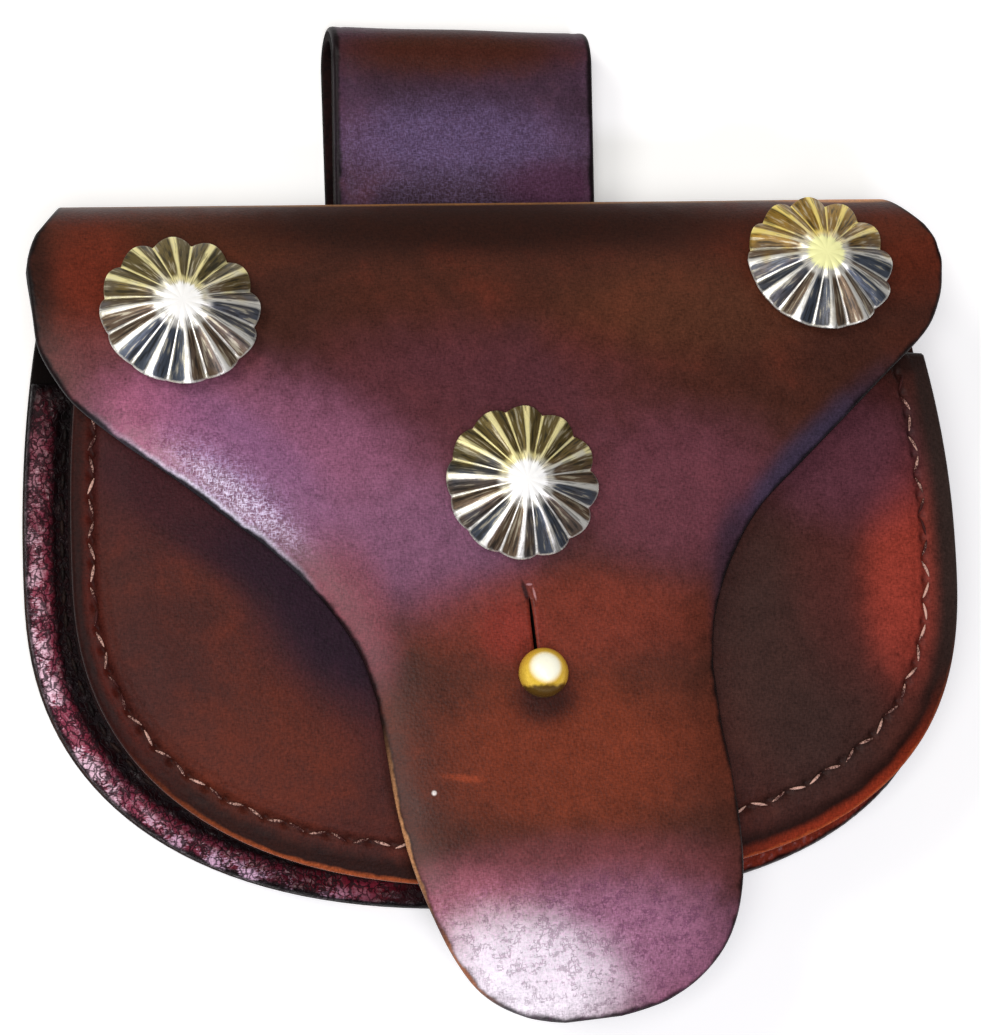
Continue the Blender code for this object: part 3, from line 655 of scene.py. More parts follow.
@dataclass(frozen=True)
class StainOrPaintedLight:
    """A soft oval in the bag's frame, with its colour as a screen shows it; some are dye or wear, others
    painted sheen, highlights or shade.
    """

    across: float
    up: float
    width: float
    height: float
    shown: Colour
    strength: float
    turn: float = 0.0
    gloss: float = 0.0
    crackle: float = 0.0
    speckled: bool = False

    @property
    def colour(self) -> Colour:
        """The dye as light values."""
        return srgb(*self.shown)

    def mask(self, graph: Graph, place: Signal, layout: Layout, level: float) -> Signal:
        """Where the oval shows, from 0 outside it to 1 at its middle.

        Args:
            graph: The material's nodes.
            place: The object's coordinates.
            layout: Where the bag's frame lies.
            level: Height of the surface in the bag's frame.

        Returns:
            The mask.
        """
        middle = layout.place((self.across, self.up, level))
        oval = graph.node(
            "ShaderNodeMapping",
            {
                "Vector": place,
                "Location": (middle.x, middle.y, 0.0),
                "Rotation": (0.0, 0.0, math.radians(self.turn)),
                "Scale": (self.width / 2, self.height / 2, ANY_HEIGHT),
            },
            {"vector_type": "TEXTURE"},
        )
        distance = graph.node("ShaderNodeVectorMath", {0: oval}, {"operation": "LENGTH"}, output="Value")
        return graph.ramp(distance, OVAL_RIM, OVAL_CORE)


@dataclass(frozen=True)
class Lip:
    """A stretch of edge whose rounded corner shows another tone; some are the edge leather's own, others
    painted highlights or painted shade.
    """

    width: float
    where: StainOrPaintedLight


@dataclass(frozen=True)
class LeatherFinish:
    """The grain side of waxed, hand-dyed leather."""

    name: str
    base: Colour
    shade: Colour
    warm: Colour
    level: float
    stains_and_light: tuple[StainOrPaintedLight, ...] = ()
    burnish: Colour = srgb(12, 7, 8)
    burnish_width: float = 0.002
    burnish_full: float = 0.0006
    burnish_strength: float = 0.92
    # inner is the near-black colour of painted shade on the part further than inner_start from the edges: the
    # gusset's wall and the flanges by it, in the groove.
    inner: Optional[Colour] = None
    inner_start: float = 0.004
    lips: tuple[Lip, ...] = ()
    roughness: float = 0.46
    coat: float = 0.03
    specular: float = 0.13
    grain: float = 1.0
    crackle: float = 0.0
    crack_colour: Colour = srgb(96, 54, 86)
    crack_strength: float = 0.42
    net: float = 0.0
    weave: float = 1.1
    # hollow is the colour of the painted shade in hollows.
    hollow: Colour = srgb(16, 9, 8)
    front_only: bool = False
    cloud_size: float = 0.024
    mottle_size: float = 0.0034
    speckle_size: float = 0.0005
    streak_size: float = 0.00065
    squiggle_size: float = 0.0022
    bend_size: float = 1.0 / 600.0
    pore_size: float = 0.00055
    relief: float = 0.00018

    def streaks(self, graph: Graph, place: Signal, size: float) -> tuple[Signal, Signal]:
        """Two noises, one drawn out along each axis."""
        level = graph.noise(place * (1.0, 2.8, 1.0), size, detail=3.0)
        upright = graph.noise(place * (2.8, 1.0, 1.0), size, detail=3.0)
        return level, upright

    def wrinkles(self, graph: Graph, place: Signal, bend: Signal) -> Signal:
        """Short dark squiggles where the dyed surface has cracked, or a net of cracks."""
        if self.net:
            lines = graph.cells((place + bend * 0.003) * (1.2, 0.85, 1.0), self.net, "DISTANCE_TO_EDGE")
            uneven = (graph.noise(place, 0.0014, detail=2.0) - 0.5) * 0.24
            return graph.ramp(lines + uneven, 0.16, 0.03)
        level, upright = self.streaks(graph, place + bend * 0.0006, self.squiggle_size)
        near = graph.maths("MINIMUM", graph.distance(level, 0.5), graph.distance(upright, 0.5))
        patches = graph.ramp(graph.noise(place, 0.0018, detail=2.0), 0.48, 0.58)
        return graph.ramp(near, 0.04, 0.008) * patches

    def material(self, layout: Layout) -> Material:
        """Builds the nodes: mottled dye, ovals of dye, wear and painted sheen, highlight and shade, burnished
        edges, painted shade in hollows, fine grain and cracks.
        """
        graph = Graph(self.name)
        place = graph.coordinates()
        cloud = graph.noise(place, self.cloud_size, detail=4.0, distortion=0.6)
        mottle = graph.noise(place, self.mottle_size, detail=5.0)
        speckle = graph.noise(place, self.speckle_size, detail=3.0)
        colour = graph.mix(graph.ramp(cloud, 0.36, 0.66), self.shade, self.base)
        colour = graph.mix(graph.ramp(cloud * 0.6 + mottle * 0.4, 0.5, 0.68) * 0.5, colour, self.warm)
        level, upright = self.streaks(graph, place, self.streak_size)
        scratches = graph.ramp(graph.maths("MAXIMUM", level, upright), 0.46, 0.7)
        gloss: Operand = 0.0
        crackle: Operand = self.crackle
        edge_break = (mottle - 0.5) * 1.2
        front: Operand = graph.above(place, layout.fold_height) if self.front_only else 1.0
        for stain_or_light in self.stains_and_light:
            mask = stain_or_light.mask(graph, place, layout, self.level)
            mask = graph.ramp(mask + edge_break * (1.0 - mask) * mask, 0.0, 1.0) * front
            if stain_or_light.speckled:
                mask = mask * scratches
            colour = graph.mix(mask * stain_or_light.strength, colour, stain_or_light.colour)
            if stain_or_light.gloss:
                gloss = mask * stain_or_light.gloss + gloss
            if stain_or_light.crackle:
                crackle = mask * stain_or_light.crackle + crackle
        edge = graph.attribute("edge")
        worn = edge + (mottle - 0.5) * 0.0014
        # Painted shade in the groove: the part far from the edges turns near black and loses its gloss.
        if self.inner is not None:
            groove_shade = graph.ramp(worn, self.inner_start - 0.0006, self.inner_start + 0.0008)
            colour = graph.mix(groove_shade * 0.95, colour, self.inner)
            gloss = gloss - groove_shade * 0.5
        burnt = graph.ramp(worn, self.burnish_width, self.burnish_full)
        colour = graph.mix(burnt * self.burnish_strength, colour, self.burnish)
        for lip in self.lips:
            rim = graph.ramp(edge + (mottle - 0.5) * 0.0012, lip.width, lip.width * 0.45)
            mask = lip.where.mask(graph, place, layout, self.level)
            if lip.where.speckled:
                mask = mask * graph.ramp(mottle + (level - 0.5) * 0.5, 0.47, 0.6)
            colour = graph.mix(rim * mask * lip.where.strength, colour, lip.where.colour)
        # Painted shade in hollows: the stitch holes and the line between them.
        colour = graph.mix(graph.attribute("shade") * 0.85, colour, self.hollow)
        inputs = {"Vector": place, "Scale": 1.0 / self.bend_size, "Detail": 2.0}
        bend = graph.node("ShaderNodeTexNoise", inputs, output="Color") - (0.5, 0.5, 0.5)
        crack = graph.maths("MINIMUM", self.wrinkles(graph, place, bend) * crackle, 1.0)
        tone = (mottle - 0.5) * 0.5 + (speckle - 0.5) * 0.5 + (level + upright - 1.0) * self.weave + 1.0
        colour = graph.mix(1.0, colour, tone, "MULTIPLY")
        colour = graph.mix(crack * self.crack_strength, colour, self.crack_colour)
        pores = graph.cells(place + bend * 0.0006, self.pore_size)
        height = pores * 0.35 + speckle * 0.35 + mottle * 0.5 - crack * 0.9
        normal = graph.bump(height, self.relief * self.grain, 0.5)
        roughness = self.roughness + (mottle - 0.5) * 0.2 + crack * 0.25 - gloss * 0.14
        coat = graph.maths("MAXIMUM", (gloss * 0.4 + self.coat) * (1.0 - burnt) - crack * 0.3, 0.0)
        return graph.finish(
            Base_Color=colour, Roughness=roughness, Normal=normal,
            Coat_Weight=coat, Coat_Roughness=0.3, Specular_IOR_Level=self.specular,
        )


@dataclass(frozen=True)
class RawLeatherFinish:
    """Leather where it was cut, or its loose flesh side."""

    name: str
    dark: Colour
    light: Colour
    fibre: float = 0.0005
    patch_size: float = 0.006
    roughness: float = 0.8
    stains_and_light: tuple[StainOrPaintedLight, ...] = ()
    front_only: bool = False

    def material(self, layout: Layout) -> Material:
        """Builds the nodes: fibres in two tones, worn patches, ovals of another tone, some of them painted
        shade, and a rough, matt surface.
        """
        graph = Graph(self.name)
        place = graph.coordinates()
        fibres = graph.noise(place, self.fibre, detail=5.0, distortion=1.2)
        patches = graph.noise(place, self.patch_size, detail=3.0)
        colour = graph.mix(graph.ramp(fibres * 0.55 + patches * 0.45, 0.4, 0.62), self.dark, self.light)
        front: Operand = graph.above(place, layout.fold_height) if self.front_only else 1.0
        for stain_or_light in self.stains_and_light:
            mask = stain_or_light.mask(graph, place, layout, 0.0)
            mask = graph.ramp(mask + (patches - 0.5) * 0.8, 0.15, 0.7) * front
            colour = graph.mix(mask * stain_or_light.strength, colour, stain_or_light.colour)
        normal = graph.bump(fibres, 0.0002, 0.6)
        roughness = self.roughness + (fibres - 0.5) * 0.3
        return graph.finish(Base_Color=colour, Roughness=roughness, Normal=normal, Specular_IOR_Level=0.06)


@dataclass(frozen=True)
class PaintedStudLight:
    """Painted light on a fluted stud: cool or warm painted reflections in the panels between its ridges, a
    painted warm reflection on its upper half and a painted white glare in its middle.
    """

    cool_panel: Colour
    warm_panel: Colour
    upper_reflection: Colour
    upper_panel_reflection: Colour
    # worn is the colour of the painted white glare in the middle.
    worn: Colour
    panel_metallic: float = 0.55


@dataclass(frozen=True)
class PaintedBallLight:
    """Painted light on a turned stud: a painted pale highlight on its crown, which faces the flash, and a
    painted dark reflection on its lower side.
    """

    crown: Colour
    under: Colour


@dataclass(frozen=True)
class MetalFinish:
    """Cast or turned metal with soft dents and fine scratches; on the studs, painted reflections, glare and
    highlights as well.
    """

    name: str
    bright: Colour
    tarnish: Colour
    roughness: float = 0.12
    metallic: float = 1.0
    scratch: float = 1.0
    # The two fields below carry the studs' painted light: reflections and glare on the fluted studs, a
    # highlight and a dark reflection on the ball.
    painted_light: Optional[PaintedStudLight] = None
    wear: Optional[PaintedBallLight] = None
    cloud_size: float = 0.004
    scratch_size: float = 0.0009
    dent_size: float = 0.0018

    def material(self) -> Material:
        """Builds the nodes: bright metal with clouds of tarnish, scratches and small dents, and on the studs
        painted light.
        """
        graph = Graph(self.name)
        place = graph.coordinates()
        cloud = graph.noise(place, self.cloud_size, detail=4.0)
        scratches = graph.noise(place * (1.0, 7.0, 1.0), self.scratch_size, detail=4.0, distortion=0.4)
        dents = graph.noise(place, self.dent_size, detail=2.0)
        colour = graph.mix(graph.ramp(cloud, 0.48, 0.78) * 0.6, self.bright, self.tarnish)
        metallic: Operand = self.metallic
        # Painted light on a fluted stud: dark cool or warm painted reflections in the flanks, a painted warm
        # reflection on the upper half and a painted white glare in the middle, with less metal there.
        if self.painted_light is not None:
            ring = graph.attribute("ring", "Vector")
            streak = graph.noise(ring, 0.045, detail=5.0)
            flank = graph.ramp(graph.attribute("tint") + (cloud - 0.5) * 0.6, 0.25, 0.75)
            upper = graph.ramp(graph.attribute("upper") + (cloud - 0.5) * 0.5, 0.48, 0.76)
            dark = graph.ramp(graph.attribute("hollow") + (streak - 0.5) * 0.9, 0.25, 0.75)
            worn = graph.ramp(graph.attribute("middle") + (streak - 0.5) * 1.1, 0.3, 0.65)
            colour = graph.mix(upper * 0.85, colour, self.painted_light.upper_reflection)
            panel = graph.mix(flank, self.painted_light.cool_panel, self.painted_light.warm_panel)
            panel = graph.mix(upper * 0.9, panel, self.painted_light.upper_panel_reflection)
            panel = graph.mix(graph.ramp(streak, 0.54, 0.66) * 0.6, panel, self.tarnish)
            panel = graph.mix(graph.ramp(streak, 0.48, 0.38) * 0.75, panel, 0.004)
            colour = graph.mix(graph.ramp(streak, 0.5, 0.34) * 0.6, colour, panel)
            colour = graph.mix(dark * 0.95, colour, panel)
            colour = graph.mix(worn, colour, self.painted_light.worn)
            metallic = self.metallic - dark * (self.metallic - self.painted_light.panel_metallic) - worn * 0.65
            metallic = metallic - upper * (1.0 - dark) * 0.4
            metallic = graph.maths("MAXIMUM", metallic, 0.05)
        # Painted light on the ball stud: a painted pale highlight on its crown and a painted dark reflection
        # on its lower side.
        if self.wear is not None:
            crown = graph.ramp(graph.attribute("crown") + (cloud - 0.5) * 0.4, 0.2, 1.0)
            under = graph.ramp(graph.attribute("under") + (dents - 0.5) * 1.2, 0.2, 0.9)
            colour = graph.mix(under * 0.9, graph.mix(crown, colour, self.wear.crown), self.wear.under)
            metallic = self.metallic - crown * 0.4
        normal = graph.bump(dents * 0.8 + scratches * 0.1 * self.scratch, 0.0003, 0.35)
        roughness = graph.ramp(scratches, 0.5, 0.8) * 0.12 * self.scratch + self.roughness
        return graph.finish(Base_Color=colour, Roughness=roughness, Metallic=metallic, Normal=normal)


@dataclass(frozen=True)
class ThreadFinish:
    """Waxed linen thread."""

    name: str
    dark: Colour
    light: Colour
    strand_size: float = 0.0003
    wear_size: float = 0.007

    def material(self) -> Material:
        """Builds the nodes: twisted strands with worn light spots."""
        graph = Graph(self.name)
        place = graph.coordinates()
        strands = graph.noise(place, self.strand_size, detail=3.0)
        wear = graph.noise(place, self.wear_size, detail=4.0)
        tone = graph.ramp(strands * 0.35 + wear * 0.65, 0.46, 0.6)
        colour = graph.mix(tone, self.dark, self.light)
        normal = graph.bump(strands, 0.0002, 0.6)
        return graph.finish(Base_Color=colour, Roughness=0.62, Normal=normal, Specular_IOR_Level=0.15)


@dataclass(frozen=True)
class FloorFinish:
    """A plain pale sweep of paper."""

    name: str
    tone: Colour
    glow: float

    def material(self) -> Material:
        """Builds the nodes: nearly white paper with a faint tooth."""
        graph = Graph(self.name)
        place = graph.coordinates()
        tooth = graph.noise(place, 0.002, detail=2.0)
        colour = graph.mix(tooth * 0.02, self.tone, graph.mix(0.5, self.tone, 1.0))
        glow = {"Emission_Color": self.tone, "Emission_Strength": self.glow}
        return graph.finish(Base_Color=colour, Roughness=0.9, **glow)


class Side(Enum):
    """The parts of a leather sheet's surface, which are also its material slots."""

    GRAIN = 0
    FLESH = 1
    CUT = 2


@dataclass
class Piece:
    """Something that shows on the bag and rides on its one body."""

    name: str
    nodes: tuple[str, ...]
    slot: str
    layout: Layout
    materials: list[Material] = field(default_factory=list)
    shape: BagShape = field(default_factory=BagShape)

    def finish(self, shape: Mesh) -> Object:
        """Turns a bmesh in the bag's frame into a smooth object that stands for its solids.

        Args:
            shape: The mesh, which is freed.

        Returns:
            The object, with its place in its mesh.
        """
        bmesh.ops.transform(shape, matrix=self.layout.matrix, verts=shape.verts)
        mesh = bpy.data.meshes.new(self.name)
        shape.to_mesh(mesh)
        shape.free()
        mesh.shade_smooth()
        for material in self.materials:
            mesh.materials.append(material)
        thing = add_object(self.name, mesh)
        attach(thing, BODY)
        if self.nodes:
            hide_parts(*self.nodes)
        mesh.calc_loop_triangles()
        log.info("%s: %d triangles", self.name, len(mesh.loop_triangles))
        return thing


@dataclass
class LeatherSheet(Piece):
    """A piece of leather: a flat grid that is cut, bent, given its thickness, rounded and worn."""

    thickness: float = 0.0026
    grain_radius: float = 0.0008
    flesh_radius: float = 0.0004
    turned_over: bool = False

    def grid_size(self) -> tuple[int, int]:
        """How many rows and columns of points the flat grid has."""
        raise NotImplementedError

    def cut(self, shape: Mesh) -> None:
        """Cuts the flat grid, whose vertices lie at whole columns (X) and rows (Y)."""

    def bend(self, columns: Array, rows: Array) -> Array:
        """Where the leather's middle lies for places on the flat grid, in the bag's frame."""
        raise NotImplementedError

    def relief(self, points: Array, edge: Array) -> Array:
        """How far the grain side stands proud at points in the bag's frame."""
        return np.zeros(len(points))

    def shade(self, points: Array) -> Array:
        """How much painted shade the grain side gets in hollows at points in the bag's frame."""
        return np.zeros(len(points))

    def outline(self, shape: Mesh) -> kdtree.KDTree:
        """A tree of points along the sheet's outer border, close enough together to measure from."""
        rows, columns = self.grid_size()
        row, column = (shape.verts.layers.float[name] for name in ("row", "column"))

        def on_border(vertex: bmesh.types.BMVert) -> bool:
            """Whether a vertex lay on the flat grid's border."""
            return vertex[row] in (0, rows - 1) or vertex[column] in (0, columns - 1)

        border = [edge for edge in shape.edges if edge.is_boundary and all(map(on_border, edge.verts))]
        steps = 8
        tree = kdtree.KDTree(len(border) * steps)
        for index, edge in enumerate(border):
            start, end = (vertex.co for vertex in edge.verts)
            for step in range(steps):
                tree.insert(start.lerp(end, step / steps), index * steps + step)
        tree.balance()
        return tree

    def build(self) -> Object:
        """Makes the sheet."""
        rows, columns = self.grid_size()
        shape = bmesh.new()
        bmesh.ops.create_grid(shape, x_segments=columns - 1, y_segments=rows - 1, size=0.5)
        bmesh.ops.translate(shape, verts=shape.verts, vec=(0.5, 0.5, 0.0))
        bmesh.ops.scale(shape, verts=shape.verts, vec=(columns - 1, rows - 1, 1.0))
        floats = shape.verts.layers.float
        row, column = floats.new("row"), floats.new("column")
        for vertex in shape.verts:
            vertex[column], vertex[row] = round(vertex.co.x), round(vertex.co.y)
        self.cut(shape)
        flat = np.array([vertex.co for vertex in shape.verts])
        for vertex, point in zip(shape.verts, self.bend(flat[:, 0], flat[:, 1])):
            vertex.co = point
        bmesh.ops.remove_doubles(shape, verts=shape.verts, dist=MERGE_DISTANCE)
        if self.turned_over:
            bmesh.ops.reverse_faces(shape, faces=shape.faces)
        shape.normal_update()
        self.measure(shape)
        for vertex in shape.verts:
            vertex.co += vertex.normal * self.thickness / 2
        shell = list(shape.faces)
        grain = set(shape.verts)
        bmesh.ops.solidify(shape, geom=shell, thickness=self.thickness)
        self.tag_sides(shape, grain)
        self.wear(shape, grain)
        vectors = shape.verts.layers.float_vector
        vectors.remove(vectors["side"])
        for name in ("row", "column"):
            floats.remove(floats[name])
        return self.finish(shape)

    def measure(self, shape: Mesh) -> None:
        """Notes at each vertex how far it is from the outline and which way the grain side faces."""
        for name in ("edge", "shade"):
            shape.verts.layers.float.new(name)
        normal = shape.verts.layers.float_vector.new("side")
        edge = shape.verts.layers.float["edge"]
        tree = self.outline(shape)
        for vertex in shape.verts:
            vertex[edge] = tree.find(vertex.co)[2]
            vertex[normal] = vertex.normal

    def tag_sides(self, shape: Mesh, grain: set) -> None:
        """Gives grain side, flesh side and cut edge their material slots."""
        for face in shape.faces:
            on_grain = sum(vertex in grain for vertex in face.verts)
            if on_grain == len(face.verts):
                face.material_index = Side.GRAIN.value
            else:
                face.material_index = (Side.CUT if on_grain else Side.FLESH).value

    def wear(self, shape: Mesh, grain: set) -> None:
        """Rounds the borders and adds the grain side's relief."""
        edge, shade = (shape.verts.layers.float[name] for name in ("edge", "shade"))
        normal = shape.verts.layers.float_vector["side"]
        upper = [vertex for vertex in shape.verts if vertex in grain]
        lower = [vertex for vertex in shape.verts if vertex not in grain]
        for vertices, radius, sign in ((upper, self.grain_radius, -1.0), (lower, self.flesh_radius, 1.0)):
            distance = np.array([vertex[edge] for vertex in vertices])
            away = 1.0 - held(distance / radius)
            shift = sign * radius * (1.0 - np.sqrt(1.0 - away**2))
            if sign < 0:
                points = np.array([vertex.co for vertex in vertices])
                shift = shift + self.relief(points, distance)
                for vertex, dark in zip(vertices, self.shade(points)):
                    vertex[shade] = float(dark)
            for vertex, amount in zip(vertices, shift):
                vertex.co += vertex[normal] * float(amount)


def bell(distance: Array, width: float) -> Array:
    """A smooth bump: 1 at no distance, near 0 at twice the width."""
    return np.exp(-((distance / width) ** 2))


def wave_field(points: Array, size: float, seed: float) -> Array:
    """Soft noise from -1 to 1 at points, with waves about a size long."""
    return np.array([noise.noise(Vector(point) / size + Vector((seed, seed, seed))) for point in points])


def distances(points: Array, marks: Sequence[Vector]) -> Array:
    """How far each point is from the nearest of some marks."""
    tree = kdtree.KDTree(len(marks))
    for index, mark in enumerate(marks):
        tree.insert(mark, index)
    tree.balance()
    return np.array([tree.find(Vector(point))[2] for point in points])


def crack_field(points: Array, size: float, seed: float) -> Array:
    """How deep in a network of wrinkles each point lies, from 0 on the plates to 1 in the cracks."""
    depths = []
    for point in points:
        place = Vector(point) / size + Vector((seed, seed, seed))
        place += noise.noise_vector(place * 0.8) * 0.35
        near, next_near = noise.voronoi(place)[0][:2]
        depths.append(1.0 - min(1.0, (next_near - near) / 0.42))
    return np.array(depths)


@dataclass
class Hide(LeatherSheet):
    """Back panel, fold, flap and tongue in one piece of leather, with the slit for the ball stud."""

    side_columns: int = 70
    column_power: float = 1.45
    back_rows: int = 64
    fold_rows: int = 26
    slit_reach: float = 0.009
    slit_open: float = 0.00028
    slit_taper: float = 0.004
    clear_radius: float = 0.0023
    wave_height: float = 0.00013
    ripple_height: float = 0.000035
    dent_depth: float = 0.0001
    dent_radius: float = 0.0135
    dent_width: float = 0.0022

    def drops(self) -> Array:
        """Distances down the flap at which it has a row, closer together by the slit and at the tip."""
        down = self.shape.ball_place[1]
        tip = self.shape.flap_length
        over_slit, under_slit, tip_zone, tip_rows = 0.015, 0.005, 0.012, 26
        upper = np.arange(self.shape.fold_end, down - over_slit, 0.0011)
        slit = np.arange(down - over_slit, down + under_slit, 0.0006)
        lower = np.arange(down + under_slit, tip - tip_zone, 0.001)
        last = tip - tip_zone * np.linspace(1.0, 0.0, tip_rows) ** 1.5
        return np.concatenate([upper, slit, lower, last])

    def grid_size(self) -> tuple[int, int]:
        """How many rows and columns of points the flat grid has."""
        return self.back_rows + self.fold_rows + len(self.drops()), 2 * self.side_columns + 1

    def across(self, columns: Array, left: Array, right: Array) -> Array:
        """Places across the leather: the middle column runs along the slit and others crowd to the edges."""
        share = np.abs(columns - self.side_columns) / self.side_columns
        reach = 1.0 - (1.0 - held(share)) ** self.column_power
        middle = self.shape.ball_place[0]
        to_right, to_left = middle + (right - middle) * reach, middle - (left + middle) * reach
        return np.where(columns > self.side_columns, to_right, to_left)

    def cut(self, shape: Mesh) -> None:
        """Splits the leather along the slit and takes out what lies under the fluted studs."""
        drops = self.drops()
        first = self.back_rows + self.fold_rows
        down = self.shape.ball_place[1]
        top = down - self.shape.buttonhole_radius - self.shape.slit_length
        foot = down + self.shape.buttonhole_radius
        column = self.side_columns

        def in_slit(vertex: bmesh.types.BMVert) -> bool:
            """Whether a vertex lies on the slit's line."""
            index = round(vertex.co.y) - first
            return round(vertex.co.x) == column and index >= 0 and top <= drops[index] <= foot

        edges = [edge for edge in shape.edges if all(map(in_slit, edge.verts))]
        bmesh.ops.split_edges(shape, edges=edges)
        shape.verts.ensure_lookup_table()
        nudge = 1e-4
        for vertex in shape.verts:
            if vertex.is_boundary and in_slit(vertex):
                middles = [face.calc_center_median().x for face in vertex.link_faces]
                vertex.co.x = column + math.copysign(nudge, sum(middles) / len(middles) - column)
        seats = [self.shape.concho_seat(place).translation for place in Place]
        under = []
        for face in shape.faces:
            middle = face.calc_center_median()
            if middle.y < first:
                continue
            point = Vector(self.bend(np.array([middle.x]), np.array([middle.y]))[0])
            if any((point - seat).length < self.clear_radius for seat in seats):
                under.append(face)
        bmesh.ops.delete(shape, geom=under, context="FACES")

    def bend(self, columns: Array, rows: Array) -> Array:
        """Where the leather's middle lies: flat behind, round the fold and down over the front."""
        points = np.zeros((len(columns), 3))
        back = rows < self.back_rows
        fold = ~back & (rows < self.back_rows + self.fold_rows)
        flap = ~back & ~fold
        for chosen, bent in ((back, self.bend_back), (fold, self.bend_fold), (flap, self.bend_flap)):
            if chosen.any():
                points[chosen] = bent(columns[chosen], rows[chosen])
        return points

    def bend_back(self, columns: Array, rows: Array) -> Array:
        """The flat back panel from its foot up to the start of the fold."""
        shape = self.shape
        foot_share = 0.55
        share = rows / (self.back_rows - 1)
        half_width = shape.back_half_width
        foot_drop = shape.front_foot_drop + shape.back_foot_margin
        start = 0.03
        angle = math.pi / 2 - (start + (math.pi / 2 - start) * held(share / foot_share))
        above_waist = held((share - foot_share) / (1 - foot_share))
        drop = lerp(shape.waist_drop, -shape.fold_point(0.0)[0], above_waist)
        rise = (shape.waist_drop - drop) / shape.waist_drop
        side = lerp(half_width, shape.fold_half_width, rise**shape.flare_roundness)
        ends = []
        for roundness in (shape.foot_roundness_left, shape.foot_roundness_right):
            x = np.cos(angle) ** (2 / roundness) * half_width
            y = -shape.waist_drop - np.sin(angle) ** (2 / roundness) * (foot_drop - shape.waist_drop)
            above = share > foot_share
            ends.append((np.where(above, side, x), np.where(above, -drop, y)))
        (left, left_y), (right, right_y) = ends
        x = self.across(columns, left, right)
        y = lerp(left_y, right_y, (x + left) / np.maximum(left + right, 1e-9))
        return np.stack([x, y, np.full(len(x), shape.hide / 2)], axis=-1)

    def bend_fold(self, columns: Array, rows: Array) -> Array:
        """Round the fold, between the back panel's top and the flap's shoulder."""
        shape = self.shape
        share = (rows - self.back_rows + 1) / (self.fold_rows + 1)
        end = math.pi - shape.shoulder_angle
        angle = end * share
        y, z = shape.fold_point(angle)
        rise = (shape.waist_drop + shape.fold_point(0.0)[0]) / shape.waist_drop
        start = lerp(shape.back_half_width, shape.fold_half_width, rise**shape.flare_roundness)
        left, right, _ = shape.flap_widths(np.array([shape.fold_end]))
        narrow = lerp(start, shape.fold_half_width, smooth_step(2 * share))
        fade = np.where(angle > math.pi / 2, (1.0 - np.sin(angle)) / (1.0 - math.sin(end)), 0.0)
        x = self.across(columns, lerp(narrow, left, fade), lerp(narrow, right, fade))
        return np.stack([x + shape.fold_shift * smooth_step(2 * share), y, z], axis=-1)

    def bend_flap(self, columns: Array, rows: Array) -> Array:
        """From the shoulder to the tip of the tongue, opened a little along the slit."""
        drops = self.drops()
        first = self.back_rows + self.fold_rows
        drop = np.interp(rows - first, np.arange(len(drops)), drops)
        left, right, _ = self.shape.flap_widths(drop)
        middle, down = self.shape.ball_place
        across = self.across(columns, left, right)
        radius = self.shape.buttonhole_radius
        top = down - radius - self.shape.slit_length
        hole = np.sqrt(np.maximum(0.0, radius**2 - (drop - down) ** 2))
        slit = self.slit_open * np.sqrt(held((drop - top) / self.slit_taper)) * (drop < down)
        half = np.where(drop < top, 0.0, np.maximum(hole, slit))
        falloff = np.maximum(0.0, 1.0 - np.abs(across - middle) / self.slit_reach) ** 2
        across = across + np.sign(columns - self.side_columns) * half * falloff
        return self.shape.flap_point(across, drop)

    def relief(self, points: Array, edge: Array) -> Array:
        """Slow waves of handled leather and dents round the studs."""
        on_flap = smooth_step((points[:, 2] - 0.016) / 0.008)
        slow = wave_field(points, 0.021, 3.1)
        quick = wave_field(points, 0.0052, 8.7)
        amount = (slow * self.wave_height + quick * self.ripple_height) * (0.25 + 0.75 * on_flap)
        for place in Place:
            seat = np.array(self.shape.concho_seat(place).translation)
            away = np.linalg.norm(points - seat, axis=1)
            calm = smooth_step((away - self.shape.concho_radius) / 0.004)
            dent = self.dent_depth * bell(away - self.dent_radius, self.dent_width)
            amount = amount * calm - dent * calm
        return amount


